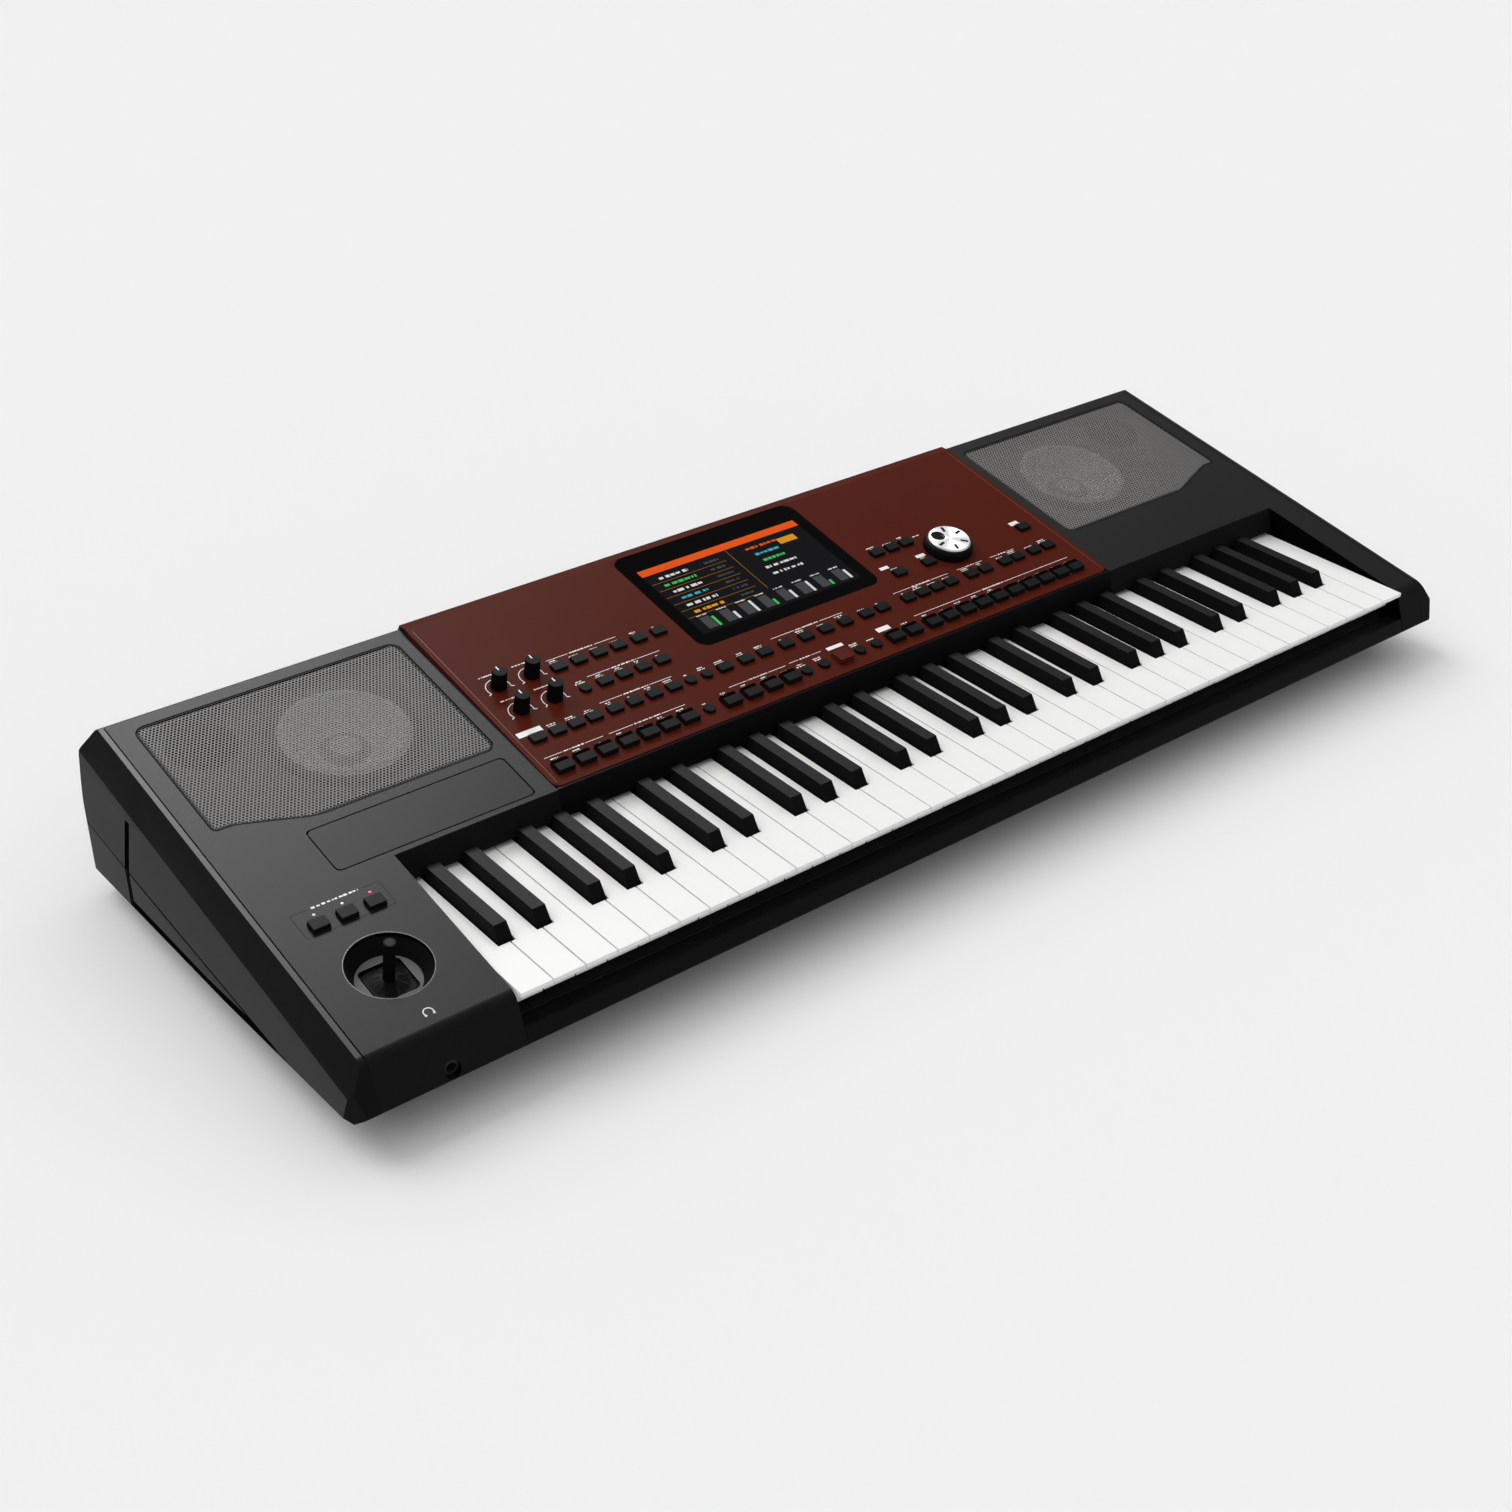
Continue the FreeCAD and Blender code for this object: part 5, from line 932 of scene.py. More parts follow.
@dataclass
class Buttons:
    """The push buttons of the panel and of the left block."""

    edge: float = 0.7
    step: Spot = (1.0, 3.9)

    def build(self) -> None:
        """Dresses the caps."""
        for node in ("row_1_buttons", "row_2_buttons", "row_3_buttons", "round_buttons",
                     "assignable_switches"):
            dress(node, Finishes.cap, Slot.CAP, self.edge, FINE)
        # The lower rear step of each cap in the fourth row is painted near-black.
        dress("row_4_buttons", Finishes.cap, Slot.CAP, self.edge, FINE, zones=[(Finishes.seam, self.on_step)])
        dress("start_button", Finishes.start, Slot.START, self.edge, FINE)
        dress("power_button", Finishes.stick_end, Slot.CAP, self.edge, FINE)

    def on_step(self, centre: Vector, normal: Vector) -> bool:
        """Whether a face is the lower rear step of a cap."""
        return self.step[0] < PANEL.plan_of(centre)[2] < self.step[1] and normal.z > 0.9


@dataclass
class Legends:
    """The white print on the panel and the deck."""

    # node, distance behind the caps, width
    LABELS = (("row_1_buttons", 6.4, 8.5), ("row_2_buttons", 6.4, 7.0), ("row_3_buttons", 6.4, 8.0),
              ("row_4_buttons", 8.0, 7.0), ("round_buttons", 6.8, 8.0))
    # left end, right end, row, distance behind the row
    GROUPS = ((-196.0, -136.0, 1, 10.2), (-180.0, -117.0, 2, 10.4), (-189.0, -127.0, 3, 10.6),
              (-36.0, 33.0, 3, 10.6), (84.0, 141.0, 3, 10.0), (151.0, 178.0, 3, 10.0),
              (187.0, 213.0, 3, 10.0), (-255.0, -207.0, 4, 12.8), (-202.0, -137.0, 4, 12.8),
              (-98.0, -46.0, 4, 12.8), (-42.0, -12.0, 4, 13.6), (80.0, 245.0, 4, 12.8))
    # middle, row, distance behind the row, width, depth
    BOXES = ((-248.5, 3, 8.4, 19.5, 5.2), (0.8, 4, 12.8, 15.0, 3.4), (48.0, 4, 12.2, 12.5, 4.8),
             (100.0, 2, 10.6, 8.5, 3.4), (137.5, 2, 10.0, 9.0, 3.4))

    seed: int = 7
    stroke: float = 0.45
    tall: float = 1.15
    second_row: float = 1.9
    title: Spot = (0.34, 22.0)
    title_gap: float = 1.2
    scale: Spot = (-17.0, 205.0)
    scale_radius: float = 9.0
    tick_radius: float = 10.4
    switch_frame: Triple = (11.3, 6.3, 15.3)
    frame_line: float = 0.4
    corner: float = 11.0
    phones: float = 43.5

    def build(self) -> None:
        """Sets out labels, group lines, boxes and arcs from where the controls stand."""
        dice = Dice(self.seed)
        panel, deck, lines = Marks(PANEL), Marks(DECK), Marks(DECK)
        self.row_labels(panel, dice)
        self.group_lines(panel, dice)
        self.knob_arcs(panel, dice)
        panel.lay("panel_print", Finishes.ink, Slot.PANEL)
        self.deck_print(deck, lines, dice)
        deck.lay("deck_print", Finishes.ink, Slot.CASE)
        lines.lay("switch_frame", Finishes.mark, Slot.CASE)

    def row_labels(self, marks: Marks, dice: Dice) -> None:
        """Adds a label of one or two rows over each cap.

        Args:
            marks: The print.
            dice: A seeded source for the strokes' lengths.
        """
        for node, rise, width in self.LABELS:
            for x, y, _ in islands(node, PANEL):
                marks.words(x, y + rise, width * dice.choice((0.35, 0.8, 1.0)), self.tall, dice)
                if dice.random() < 0.5:
                    second = y + rise + self.second_row
                    marks.words(x, second, width * dice.choice((0.6, 0.9)), self.tall, dice)

    def group_lines(self, marks: Marks, dice: Dice) -> None:
        """Adds the thin lines that join groups, each broken for its title, and the white boxes.

        Args:
            marks: The print.
            dice: A seeded source for the strokes' lengths.
        """
        rows = {number: islands(f"row_{number}_buttons", PANEL) for number in range(1, 5)}
        row = {number: spots[0][1] for number, spots in rows.items()}
        for left, right, number, rise in self.GROUPS:
            y = row[number] + rise
            title = min((right - left) * self.title[0], self.title[1])
            middle = (left + right) / 2
            gap = title / 2 + self.title_gap
            for start, end in ((left, middle - gap), (middle + gap, right)):
                marks.bar((start + end) / 2, y, end - start, self.stroke)
            marks.words(middle, y, title, self.tall * 1.1, dice)
        for x, number, rise, width, depth in self.BOXES:
            marks.bar(x, row[number] + rise, width, depth)
        lone = max(spot for number in range(1, 4) for spot in rows[number] if spot[1] > row[3] + 10.0)
        marks.bar(lone[0] - 2.5, lone[1] + 8.0, 9.0, 4.4)

    def knob_arcs(self, marks: Marks, dice: Dice) -> None:
        """Adds the scale round each knob, open at the front, and the labels of knobs and dial.

        Args:
            marks: The print.
            dice: A seeded source for the strokes' lengths.
        """
        for number in range(1, 5):
            x, y = PANEL.under(f"knob_{number}_turn")
            marks.arc(x, y, self.scale_radius, 0.6, *self.scale, 20)
            for end in self.scale:
                angle = math.radians(end)
                tick = self.tick_radius * math.cos(angle), self.tick_radius * math.sin(angle)
                marks.bar(x + tick[0], y + tick[1], 2.2, 0.7, angle)
            marks.words(x - 1.0, y + 14.2, 13.0, self.tall, dice)
        x, y = PANEL.under(DIAL)
        marks.words(x - 12.0, y + 24.5, 7.0, self.tall, dice)

    def deck_print(self, marks: Marks, lines: Marks, dice: Dice) -> None:
        """Adds the print and the dark frame round the switches and the headphone mark at the front edge.

        Args:
            marks: The white print.
            lines: The dark lines.
            dice: A seeded source for the strokes' lengths.
        """
        places = islands("assignable_switches", DECK)
        beside, before, behind = self.switch_frame
        left, right = places[0][0] - beside, places[-1][0] + beside
        front, rear, middle = places[0][1] - before, places[0][1] + behind, (left + right) / 2
        marks.words(middle, rear, 32.0, 1.6, dice)
        lines.bar(middle, front, right - left, self.frame_line)
        for side in (left, right):
            lines.bar(side, (front + rear) / 2, self.frame_line, rear - front)
            inward = math.copysign(self.corner / 2, middle - side)
            lines.bar(side + inward, rear, self.corner, self.frame_line)
        x, y = DECK.under(STICK)
        marks.arc(x, y - self.phones, 3.1, 0.7, -50.0, 230.0, 18)
        for side in (-1, 1):
            marks.bar(x + side * 2.9, y - self.phones - 1.7, 1.2, 2.0)


@dataclass
class ControlPanel:
    """The painted panel, paler lines along its side edges that are painted highlights, and the switches' lamps."""

    edge: float = 0.6
    # Where the paler lines along the panel's side edges lie and their size: painted highlights.
    highlight_x: float = 260.4
    line: Triple = (67.0, 0.55, 184.0)
    lamp: float = 1.1
    lamp_from_switch: Spot = (2.0, 9.6)

    def build(self) -> None:
        """Dresses the panel and adds the paler lines along its edges, which are painted highlights, and the lamps.
        """
        dress("control_panel", Finishes.panel, Slot.PANEL, self.edge, FINE)
        # Thin paler lines along the side edges, as painted highlights.
        lines = Marks(PANEL)
        for side in (-1, 1):
            lines.bar(side * self.highlight_x, *self.line)
        lines.lay("panel_edge_lines", Finishes.panel_edge, Slot.PANEL)
        places = islands("assignable_switches", DECK)
        for number, (x, y, _) in enumerate(places, 1):
            bm = bmesh.new()
            bmesh.ops.create_uvsphere(bm, u_segments=16, v_segments=8, radius=self.lamp * MM)
            spot = DECK.matrix(x + self.lamp_from_switch[0], y + self.lamp_from_switch[1])
            bmesh.ops.transform(bm, matrix=spot @ Matrix.Diagonal((1.0, 1.0, 0.5, 1.0)), verts=bm.verts)
            finish = Finishes.lamp_red if number == len(places) else Finishes.lamp_clear
            settle(to_piece(f"switch_lamp_{number}", bm, finish), "casing", Slot.START)


@dataclass
class Rotaries:
    """The four knobs and the data dial."""

    pointer: Triple = (3.1, 1.0, 3.9)
    marks: int = 6
    first_mark: float = 135.0
    mark_radius: float = 11.6
    mark: Spot = (6.2, 2.4)
    dimple_at: float = 0.55 * 17.2 / math.sqrt(2)
    dimple: Spot = (4.4, 1.2)
    lining: float = 0.05

    def build(self) -> None:
        """Dresses the knobs and the dial and adds their marks."""
        for number in range(1, 5):
            node = f"knob_{number}"
            dress(node, Finishes.knob, Slot.KNOB)
            x, y, top = islands(node, PANEL)[0]
            pointer = Marks(PANEL, top)
            pointer.bar(x, y + self.pointer[0], *self.pointer[1:])
            pointer.lay(f"{node}_pointer", Finishes.ink, Slot.KNOB, node)
        dress("dial_cap", Finishes.dial, Slot.DIAL, 0.25)
        dress("dial_ring", Finishes.dial_grip, Slot.RUBBER, 0.3)
        x, y, top = islands("dial_cap", PANEL)[0]
        strokes = Marks(PANEL, top)
        for i in range(1, self.marks):
            angle = math.radians(self.first_mark + 360 * i / self.marks)
            place = self.mark_radius * math.cos(angle), self.mark_radius * math.sin(angle)
            strokes.bar(x + place[0], y + place[1], *self.mark, angle)
        strokes.lay("dial_strokes", Finishes.mark, Slot.DIAL, "data_dial")
        self.line_dimple(x, y, top)

    def line_dimple(self, x: float, y: float, top: float) -> None:
        """Adds the dark lining of the dial's dimple.

        Args:
            x: Plan place of the dial along the keys, in millimetres.
            y: Its plan place along the depth.
            top: Height of its face over the panel.
        """
        half, depth = self.dimple
        ball = (half ** 2 + depth ** 2) / (2 * depth)
        high, brim = top + self.lining, half * 1.3
        bowl = [half * share for share in (0.0, 0.35, 0.65, 0.85, 1.0)]
        profile = [(r, high + ball - depth - math.sqrt(ball ** 2 - r ** 2)) for r in bowl]
        profile += [(brim, high), (brim, top - 0.1)]
        bm = bmesh.new()
        verts = [bm.verts.new((r, 0.0, z)) for r, z in profile]
        edges = [bm.edges.new(pair) for pair in zip(verts, verts[1:])]
        bmesh.ops.spin(bm, geom=verts + edges, cent=(0, 0, 0), axis=(0, 0, 1), angle=math.tau, steps=28,
                       use_duplicate=False)
        bmesh.ops.remove_doubles(bm, verts=bm.verts, dist=1e-4)
        bmesh.ops.holes_fill(bm, edges=bm.edges, sides=40)
        bmesh.ops.recalc_face_normals(bm, faces=bm.faces)
        aside = Matrix.Translation(Vector((-self.dimple_at, self.dimple_at, 0.0)) * MM)
        bmesh.ops.transform(bm, matrix=PANEL.matrix(x, y) @ aside @ Matrix.Scale(MM, 4), verts=bm.verts)
        settle(to_piece("dial_dimple", bm, Finishes.dimple), "data_dial", Slot.DIAL)


@dataclass
class Joystick:
    """The well, the gimbal and the stick."""

    edge: float = 0.4
    floor_drop: float = 13.0
    end: Triple = (2.9, 2.75, 0.12)

    def build(self) -> None:
        """Dresses the joystick's solids, the well with a paler floor, and adds the stick's grey end."""
        floor = [(Finishes.well_floor, self.on_floor)]
        dress("joystick_housing", Finishes.well, Slot.TRIM, self.edge, zones=floor)
        dress("joystick_gimbal", Finishes.chassis, Slot.CHASSIS, 0.2)
        dress("joystick_stick", Finishes.stick, Slot.CAP, 0.6, FINE)
        low, high, depth = (size * MM for size in self.end)
        bm = bmesh.new()
        bmesh.ops.create_cone(bm, cap_ends=True, segments=28, radius1=low, radius2=high, depth=depth)
        top = islands("joystick_stick", DECK)[0][2]
        bmesh.ops.transform(bm, matrix=DECK.matrix(*DECK.under(STICK), top), verts=bm.verts)
        settle(to_piece("joystick_end", bm, Finishes.stick_end), "joystick_stick", Slot.CAP)

    def on_floor(self, centre: Vector, normal: Vector) -> bool:
        """Whether a face is part of the well's floor."""
        return abs(DECK.plan_of(centre)[2] + self.floor_drop) < 0.3 and normal.z > 0.6


@dataclass
class Display:
    """The dark glass and a plain lit page in its middle."""

    LIST = ("white", "green", "white", "cyan", "white", "amber")
    VALUES = ("orange", "cyan", "green", "white", "white")
    LEVELS = (12.0, 9.0, 14.0, 7.0, 10.0, 13.0, 6.0, 11.0)

    half: float = 76.0
    front: float = 57.5
    rear: float = 141.5
    up: float = -0.28
    tile_up: float = 0.04
    corner: float = 10.0
    corner_up: float = -0.29
    corner_thick: float = 0.31
    seed: int = 3
    list_pitch: float = 9.0
    value_pitch: float = 8.5
    level_pitch: float = 18.2

    def build(self) -> None:
        """Dresses the glass and sets out the page."""
        dress("display_glass", Finishes.glass, Slot.GLASS, 0.4, FINE)
        paint("lcd_module", Finishes.lcd_frame)
        self.corners()
        ground = Marks(PANEL, self.up)
        tall = (self.rear - self.front) / math.cos(PANEL.tilt)
        ground.bar(0.0, (self.front + self.rear) / 2, 2 * self.half, tall)
        ground.lay("screen_ground", Finishes.screen, Slot.GLASS)
        page = {name: Marks(PANEL, self.up + self.tile_up) for name in Finishes.tiles}
        self.lay_out(page, Dice(self.seed))
        for name, marks in page.items():
            marks.lay(f"screen_{name}", Finishes.tiles[name], Slot.GLASS)

    def corners(self) -> None:
        """Rounds the dark field off with the panel's paint in its four corners."""
        spots = [PANEL.plan_of(vert.co) for vert in frame["nodes"]["display_glass"].data.vertices]
        (left, right), (front, rear) = ((min(s[i] for s in spots), max(s[i] for s in spots))
                                        for i in range(2))
        angles = [math.radians(9 * i) for i in range(11)]
        lift = PANEL.matrix(0, 0).to_3x3() @ Vector((0, 0, self.corner_thick * MM))
        bm = bmesh.new()
        for x, across in ((left, self.corner), (right, -self.corner)):
            for y, along in ((front, self.corner), (rear, -self.corner)):
                arc = [(x + across * (1 - math.cos(a)), y + along * (1 - math.sin(a))) for a in angles]
                places = [PANEL.matrix(*spot, self.corner_up).translation for spot in [(x, y), *arc]]
                face = bm.faces.new([bm.verts.new(place) for place in places])
                grown = bmesh.ops.extrude_face_region(bm, geom=[face])["geom"]
                upper = [g for g in grown if isinstance(g, bmesh.types.BMVert)]
                bmesh.ops.translate(bm, vec=lift, verts=upper)
        bmesh.ops.recalc_face_normals(bm, faces=bm.faces)
        settle(to_piece("display_corners", bm, Finishes.panel), "casing", Slot.PANEL)

    def lay_out(self, page: dict[str, Marks], dice: Dice) -> None:
        """Draws a generic page: a header, a list, a block of values and a row of level bars.

        Args:
            page: The tiles by colour.
            dice: A seeded source for the strokes' lengths.
        """
        left, right, top = -self.half, self.half, self.rear - 4.0
        page["orange"].bar(0.0, top, 2 * self.half, 7.6)
        for row, tint in enumerate(self.LIST):
            y = top - 10.5 - row * self.list_pitch
            page[tint].words(left + 24.0, y, dice.uniform(24, 36), 3.0, dice)
            page["grey"].words(left + 60.0, y, dice.uniform(10, 16), 2.4, dice)
            page["line"].bar(left + 36.0, y - self.list_pitch / 2, 70.0, 0.5)
        page["amber"].bar(right - 20.0, top - 14.0, 17.0, 7.0)
        for row, tint in enumerate(self.VALUES):
            y = top - 11.0 - row * self.value_pitch
            page[tint].words(right - 44.0, y, dice.uniform(20, 30), 2.8, dice)
        page["line"].bar(2.0, top - 31.0, 0.6, 54.0)
        for i, tall in enumerate(self.LEVELS):
            x = left + 12.0 + i * self.level_pitch
            page["grey"].bar(x, self.front + 10.0, 8.4, 14.0)
            page["white" if i % 3 else "green"].bar(x + 6.4, self.front + 3.0 + tall / 2, 2.4, tall)
            page["white"].words(x, self.front + 19.2, 9.0, 1.4, dice)


@dataclass
class Grilles:
    """The perforated sheets, each a plain rim round a field of holes."""

    pitch: float = 2.6
    hole: float = 0.72
    rim: float = 1.5
    thick: float = 0.6
    edge: float = 0.3
    under_rim: float = 0.08

    def build(self) -> None:
        """Makes both sheets in place of their plain solids."""
        cell = new_object("grille_cell", self.cell_mesh())
        shape = self.tree()
        for side in ("left", "right"):
            self.sheet(f"{side}_grille", shape, cell)
        bpy.data.objects.remove(cell)

    def cell_mesh(self) -> Mesh:
        """Makes one six-sided cell with its hole, open at its outer sides.

        Returns:
            The cell.
        """
        outer, low = self.pitch / math.sqrt(3) * MM, -self.thick * MM
        inner = outer * self.hole
        angles = [math.radians(30 + 60 * i) for i in range(6)]
        bm = bmesh.new()
        loops = [[bm.verts.new((radius * math.cos(a), radius * math.sin(a), z)) for a in angles]
                 for radius, z in ((outer, 0.0), (inner, 0.0), (inner, low), (outer, low))]
        for upper, lower in zip(loops, loops[1:]):
            for i in range(6):
                bm.faces.new((upper[i], upper[(i + 1) % 6], lower[(i + 1) % 6], lower[i])).normal_flip()
        bm.normal_update()
        mesh = bpy.data.meshes.new("grille_cell")
        bm.to_mesh(mesh)
        bm.free()
        return mesh

    @staticmethod
    def tree() -> NodeShape:
        """Makes the tree that fills a flat outline with staggered cells.

        Returns:
            The tree.
        """
        shape = NodeShape("perforated_field", {"Pitch": float, "Columns": int, "Rows": int, "Cell": Piece,
                                               "Material": Material})
        graph, source = shape.graph, shape.source
        out, maths, vectors = graph.out, graph.maths, graph.vectors
        box = graph.add("GeometryNodeBoundBox", {0: source["Geometry"]}).outputs
        both = vectors("ADD", box["Min"], box["Max"])
        centre = vectors("MULTIPLY", both, (0.5, 0.5, 0.5))
        row_pitch = maths("MULTIPLY", source["Pitch"], math.sqrt(3) / 2)
        wide = maths("MULTIPLY", source["Pitch"], maths("SUBTRACT", source["Columns"], 1.0))
        deep = maths("MULTIPLY", row_pitch, maths("SUBTRACT", source["Rows"], 1.0))
        grid = out("GeometryNodeMeshGrid", {"Size X": wide, "Size Y": deep, "Vertices X": source["Columns"],
                                            "Vertices Y": source["Rows"]})
        spot = graph.add("ShaderNodeSeparateXYZ", {0: out("GeometryNodeInputPosition")}).outputs
        row = maths("ROUND", maths("ADD", maths("DIVIDE", spot[1], row_pitch), 1000.0))
        shift = maths("MULTIPLY", maths("MODULO", row, 2.0), maths("MULTIPLY", source["Pitch"], 0.5))
        offset = vectors("ADD", out("ShaderNodeCombineXYZ", {0: shift}), centre)
        moved = out("GeometryNodeSetPosition", {"Geometry": grid, "Offset": offset})
        above = vectors("ADD", out("GeometryNodeInputPosition"), (0.0, 0.0, 0.01))
        over = out("GeometryNodeRaycast", {"Target Geometry": source["Geometry"], "Source Position": above,
                                           "Ray Direction": (0.0, 0.0, -1.0), "Ray Length": 1.0})
        cell = graph.add("GeometryNodeObjectInfo", {"Object": source["Cell"]}).outputs["Geometry"]
        each = {"Points": moved, "Selection": over, "Instance": cell}
        shape.finish(out("GeometryNodeInstanceOnPoints", each))
        return shape

    def sheet(self, node: str, shape: NodeShape, cell: Piece) -> None:
        """Makes one sheet from its solid's outline.

        Args:
            node: The plain solid.
            shape: The tree that fills an outline.
            cell: One cell.
        """
        flat = DECK.matrix(0.0, DECK.y)
        solid, ring = welded(node, whole=True), bmesh.new()
        bmesh.ops.transform(solid, matrix=flat.inverted(), verts=solid.verts)
        top = max((f for f in solid.faces if f.normal.z > 0.9), key=lambda f: f.calc_area())
        face = ring.faces.new([ring.verts.new(v.co) for v in top.verts])
        solid.free()
        ring.normal_update()
        bmesh.ops.inset_individual(ring, faces=[face], thickness=self.rim * MM, use_even_offset=True)
        inner = [v.co.copy() for v in face.verts]
        bmesh.ops.delete(ring, geom=[face], context="FACES_ONLY")
        walls = bmesh.ops.extrude_face_region(ring, geom=ring.faces[:])["geom"]
        low = [g for g in walls if isinstance(g, bmesh.types.BMVert)]
        bmesh.ops.translate(ring, vec=(0, 0, -self.thick * MM), verts=low)
        bmesh.ops.recalc_face_normals(ring, faces=ring.faces)
        soften(ring, self.edge, 2, 50.0)
        for part in ring.faces:
            part.material_index = 1
        ring.from_mesh(self.closed(self.holes(inner, shape, cell)))
        bmesh.ops.transform(ring, matrix=flat, verts=ring.verts)
        piece = to_piece(f"{node}_sheet", ring, Finishes.grille, Finishes.grille_edge)
        settle(piece, "casing", Slot.GRILLE, node)

    def holes(self, outline: list[Vector], shape: NodeShape, cell: Piece) -> Mesh:
        """Fills an outline with cells.

        Args:
            outline: The outline's corners, in metres.
            shape: The tree that fills it.
            cell: One cell.

        Returns:
            The field of holes, open at its outer edge.
        """
        base = bpy.data.meshes.new("grille_field")
        base.from_pydata(outline, [], [list(range(len(outline)))])
        wide, deep = (max(co[i] for co in outline) - min(co[i] for co in outline) for i in range(2))
        pitch = self.pitch * MM
        return shape.run(base, {"Pitch": pitch, "Columns": int(wide / pitch) + 4,
                                "Rows": int(deep / (pitch * math.sqrt(3) / 2)) + 4, "Cell": cell,
                                "Material": Finishes.grille.make()})

    def closed(self, mesh: Mesh) -> Mesh:
        """Closes a field's outer edge.

        Args:
            mesh: The field, open between its top and its underside.

        Returns:
            The same mesh, closed and a little under the rim's top.
        """
        bm = bmesh.new()
        bm.from_mesh(mesh)
        high = max(v.co.z for v in bm.verts)
        above, below = [], {}
        for edge in [e for e in bm.edges if e.is_boundary]:
            key = frozenset(self.plan(v) for v in edge.verts)
            if edge.verts[0].co.z > high - 1e-5:
                above.append((key, edge))
            else:
                below[key] = edge
        for key, edge in above:
            if key in below:
                a, b = edge.verts
                c, d = below[key].verts
                if self.plan(a) != self.plan(c):
                    c, d = d, c
                bm.faces.new((a, b, d, c))
        for face in bm.faces:
            face.material_index = 0
        bmesh.ops.recalc_face_normals(bm, faces=bm.faces)
        bmesh.ops.translate(bm, vec=(0, 0, -self.under_rim * MM), verts=bm.verts)
        bm.to_mesh(mesh)
        bm.free()
        return mesh

    @staticmethod
    def plan(vert: bmesh.types.BMVert) -> Spot:
        """A corner's place in plan, to the micrometre."""
        return round(vert.co.x, 6), round(vert.co.y, 6)


@dataclass
class Speakers:
    """The loudspeakers and boxes behind the grilles."""

    cone: float = 45.0
    # The dust cap's sloping edge, in millimetres from the middle, which is painted darker as shade.
    shaded_cap_ring: Spot = (10.0, 18.0)
    port: Triple = (436.95, 132.5, 24.6)
    smooth: float = 40.0

    def build(self) -> None:
        """Dresses the drivers and their boxes by zone."""
        for side, out in (("left", -1), ("right", 1)):
            ports = [(Finishes.port, partial(self.in_port, out))]
            dress(f"{side}_speaker_box", Finishes.baffle, Slot.BOX, zones=ports)
            self.driver(f"{side}_woofer")

    def in_port(self, out: int, centre: Vector, normal: Vector) -> bool:
        """Whether a face lies in the port of the box on one side."""
        return math.hypot(centre.x / MM - out * self.port[0], centre.y / MM - self.port[1]) < self.port[2]

    def driver(self, node: str) -> None:
        """Dresses one loudspeaker, whose cone is paler than its frame, with a darker ring of painted shade on the
        dust cap's sloping edge.

        Args:
            node: The loudspeaker.
        """
        finishes = Finishes.frame_coat, Finishes.cap_edge_shade, Finishes.paper
        piece = to_piece(f"{node}_dressed", welded(node), *finishes, smooth=self.smooth)
        x, y, _ = islands(node, DECK)[0]
        inverse = DECK.matrix(x, y).inverted()
        for face in piece.data.polygons:
            local = inverse @ face.center / MM
            radius = math.hypot(local.x, local.y)
            if (inverse.to_3x3() @ face.normal).z > 0.05 and radius < self.cone:
                # The dust cap's sloping edge gets the painted shade, the rest of the cone the paper.
                face.material_index = 1 if self.shaded_cap_ring[0] < radius < self.shaded_cap_ring[1] else 2
        settle(piece, "casing", Slot.SPEAKER, node)


@dataclass
class Sockets:
    """The sockets at the rear and at the front, and the print over the rear ones."""

    LABELS = (("rear_jacks", 11.0), ("data_sockets", 9.0), ("power_inlet", 15.0), ("power_button", 8.0))

    seed: int = 11
    edge: float = 0.3
    nut: float = 0.6
    inward: float = 3.6
    tall: float = 1.3

    def build(self) -> None:
        """Dresses the sockets, with bright nuts on the line sockets, and labels them."""
        for node in ("data_sockets", "power_inlet", "headphone_jack"):
            dress(node, Finishes.socket, Slot.SOCKET, self.edge)
        dress("rear_jacks", Finishes.socket, Slot.SOCKET, self.edge, zones=[(Finishes.steel, self.on_nut)])
        dice = Dice(self.seed)
        marks = Marks(REAR_EDGE)
        for node, width in self.LABELS:
            for x, _, _ in islands(node, REAR_EDGE):
                marks.words(x, REAR_EDGE.y - self.inward, width, self.tall, dice)
        marks.lay("rear_print", Finishes.ink, Slot.TRIM)

    def on_nut(self, centre: Vector, normal: Vector) -> bool:
        """Whether a face is the outer end of a line socket."""
        return normal.y > 0.9 and centre.y > CAD_BOX[1][1] - self.nut * MM


@dataclass
class Inside:
    """The solids that the casing hides."""

    def build(self) -> None:
        """Gives each inner solid its finish."""
        paint("key_chassis", Finishes.chassis)
        for node in ("control_boards", "key_contact_board", "main_board"):
            paint(node, Finishes.board)
        paint("key_pivot_rod", Finishes.steel)
        paint("key_stop_felt", Finishes.felt)
        paint("power_supply", Finishes.supply)


# Studio


@dataclass(frozen=True)
class Lamp:
    """A distant lamp: where it stands, its width in degrees, its power, and whether matt surfaces see it."""

    name: str
    source: Triple
    width: float
    power: float
    lights: bool = True


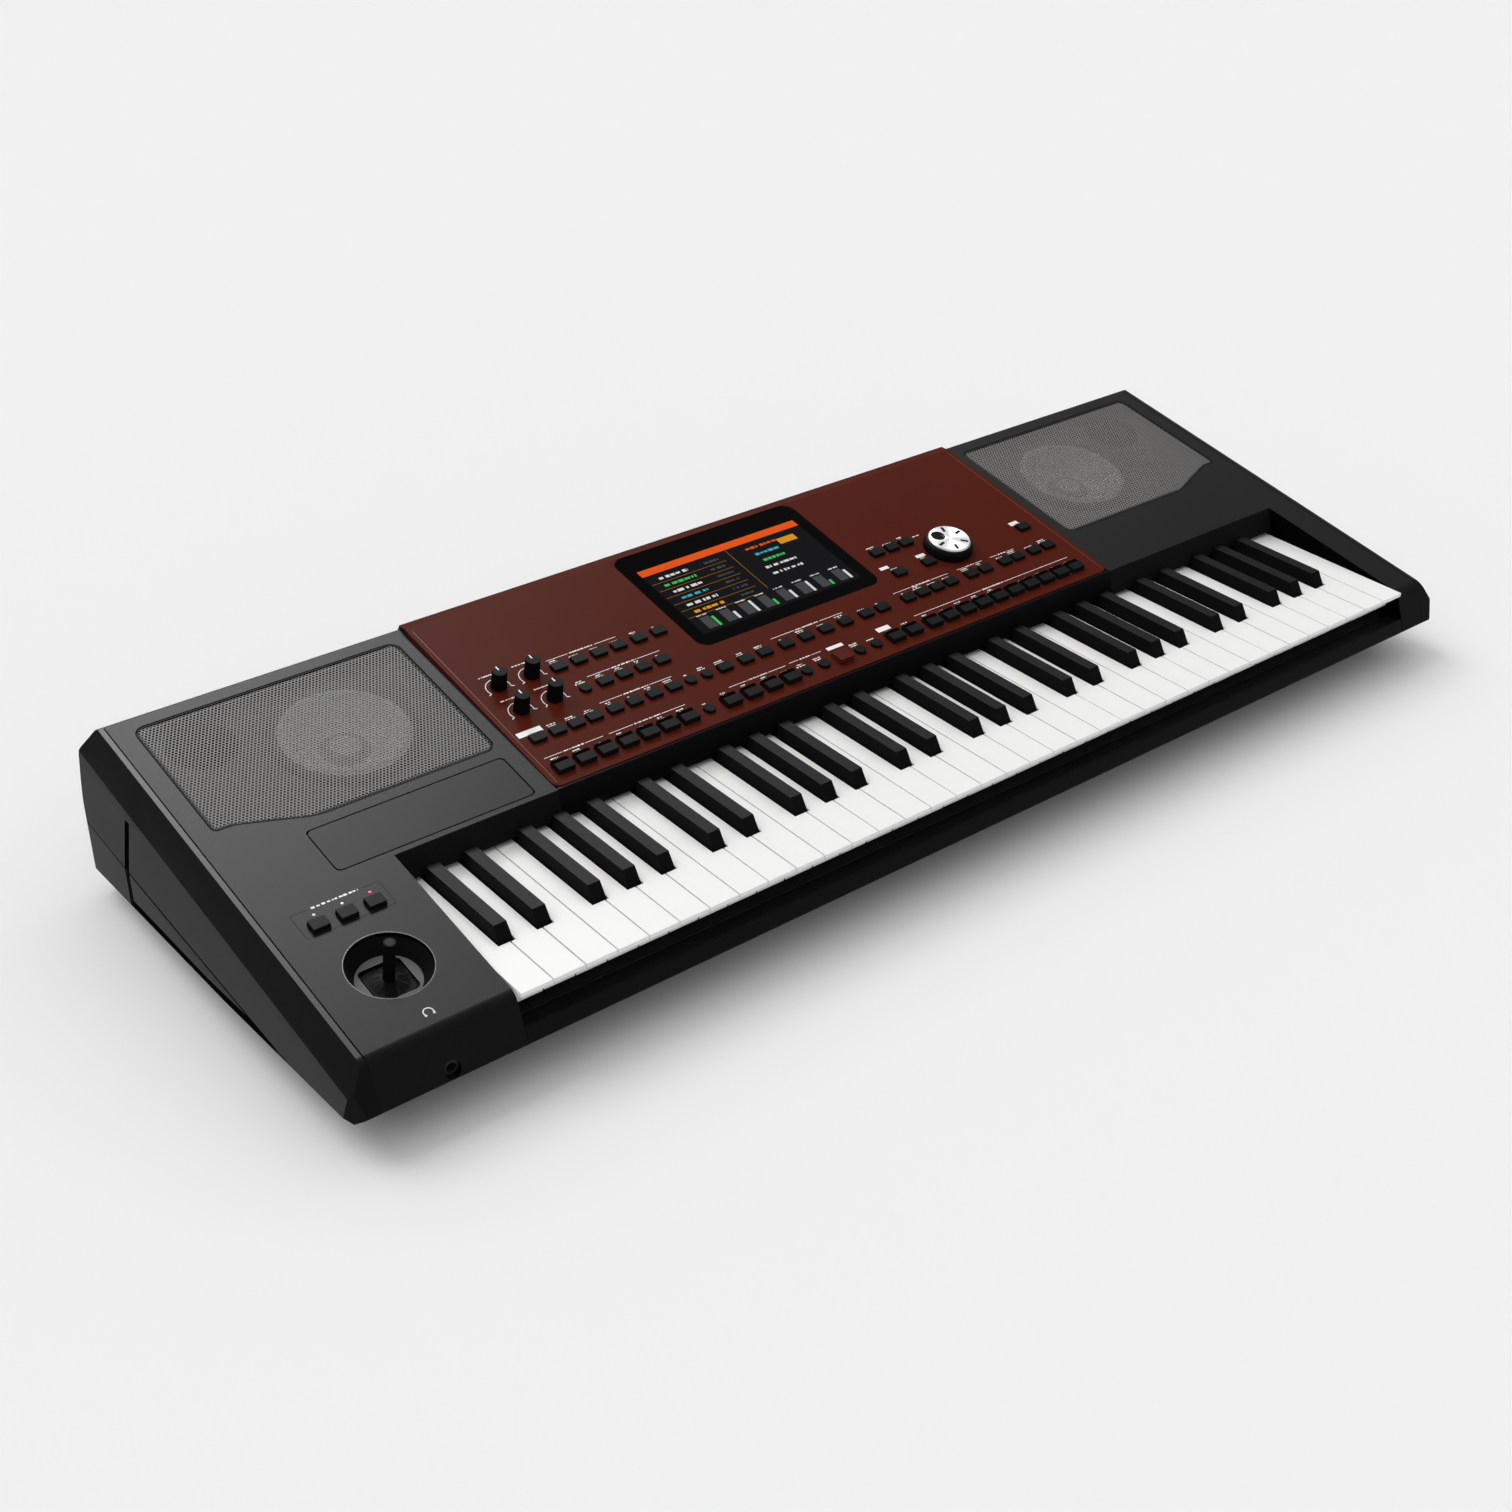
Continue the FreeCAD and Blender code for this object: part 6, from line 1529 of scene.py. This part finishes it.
@dataclass
class Studio:
    """The floor, the light and the camera of the photograph."""

    LAMPS = (Lamp("key_lamp", (-0.33, 0.47, 0.82), 34.0, 0.95),
             Lamp("top_lamp", (0.0, 0.15, 1.0), 110.0, 0.72),
             Lamp("sheen_lamp", (0.27, 0.60, 0.75), 18.0, 13.5, False))

    place: Triple = (-0.8851, -0.9963, 0.8294)
    azimuth: float = -39.21
    elevation: float = 31.90
    roll: float = 0.94
    lens: float = 49.17
    background: float = 0.882
    fill: float = 0.52
    floor_radius: float = 30.0
    lamps_off: float = 4.0

    def build(self) -> None:
        """Sets up everything that isn't the object."""
        bpy.context.scene.view_settings.view_transform = "Standard"
        self.floor()
        self.world()
        self.lamps()
        self.camera()

    def floor(self) -> None:
        """A pale floor that keeps the object's shadow."""
        bm = bmesh.new()
        bmesh.ops.create_circle(bm, cap_ends=True, segments=64, radius=self.floor_radius)
        floor = to_piece("floor", bm, Finishes.floor)

    def world(self) -> None:
        """An even soft light, which shows as the pale background to the camera and in reflections."""
        world = bpy.data.worlds.new("studio")
        bpy.context.scene.world = world
        world.use_nodes = True
        graph = Graph(world.node_tree)
        path = graph.add("ShaderNodeLightPath").outputs
        mirrored = graph.maths("MAXIMUM", path["Is Glossy Ray"], path["Is Transmission Ray"])
        seen = graph.maths("MAXIMUM", path["Is Camera Ray"], mirrored)
        light = graph.out("ShaderNodeBackground", {"Color": (1.0, 1.0, 1.0, 1.0), "Strength": self.fill})
        show = graph.out("ShaderNodeBackground", {"Color": (self.background,) * 3 + (1.0,), "Strength": 1.0})
        mix = graph.out("ShaderNodeMixShader", {0: seen, 1: light, 2: show})
        graph.add("ShaderNodeOutputWorld", {0: mix})

    def lamps(self) -> None:
        """A soft lamp over the rear, a very wide one overhead, and one that only shows in glossy surfaces."""
        for lamp in self.LAMPS:
            light = bpy.data.lights.new(lamp.name, "SUN")
            light.angle = math.radians(lamp.width)
            light.energy = lamp.power
            holder = bpy.data.objects.new(lamp.name, light)
            holder.location = Vector(lamp.source) * self.lamps_off
            holder.visible_diffuse = lamp.lights
            holder.rotation_euler = (-Vector(lamp.source)).to_track_quat("-Z", "Y").to_euler()
            bpy.context.scene.collection.objects.link(holder)

    def camera(self) -> None:
        """The camera where the photograph was taken from."""
        a, e, r = (math.radians(v) for v in (self.azimuth, self.elevation, self.roll))
        back = Vector((math.sin(a) * math.cos(e), -math.cos(a) * math.cos(e), math.sin(e)))
        right = Vector((0.0, 0.0, 1.0)).cross(back).normalized()
        up = back.cross(right)
        right, up = right * math.cos(r) + up * math.sin(r), up * math.cos(r) - right * math.sin(r)
        data = bpy.data.cameras.new("photo_camera")
        data.lens = self.lens
        data.sensor_width = 36.0
        data.clip_start = 0.01
        camera = bpy.data.objects.new("photo_camera", data)
        turn = Matrix((right, up, back)).transposed().to_4x4()
        camera.matrix_world = Matrix.Translation(self.place) @ turn
        bpy.context.scene.collection.objects.link(camera)
        bpy.context.scene.camera = camera


def main() -> None:
    """Builds the sub-assemblies in order, then the studio."""
    logging.basicConfig(level=logging.INFO, format="%(message)s")
    for part in (Casing(), Keys(), ControlPanel(), Buttons(), Legends(), Rotaries(), Joystick(), Display(),
                 Grilles(), Speakers(), Sockets(), Inside(), Studio()):
        part.build()
        log.info("%s done", type(part).__name__)


if __name__ == "__main__":
    main()
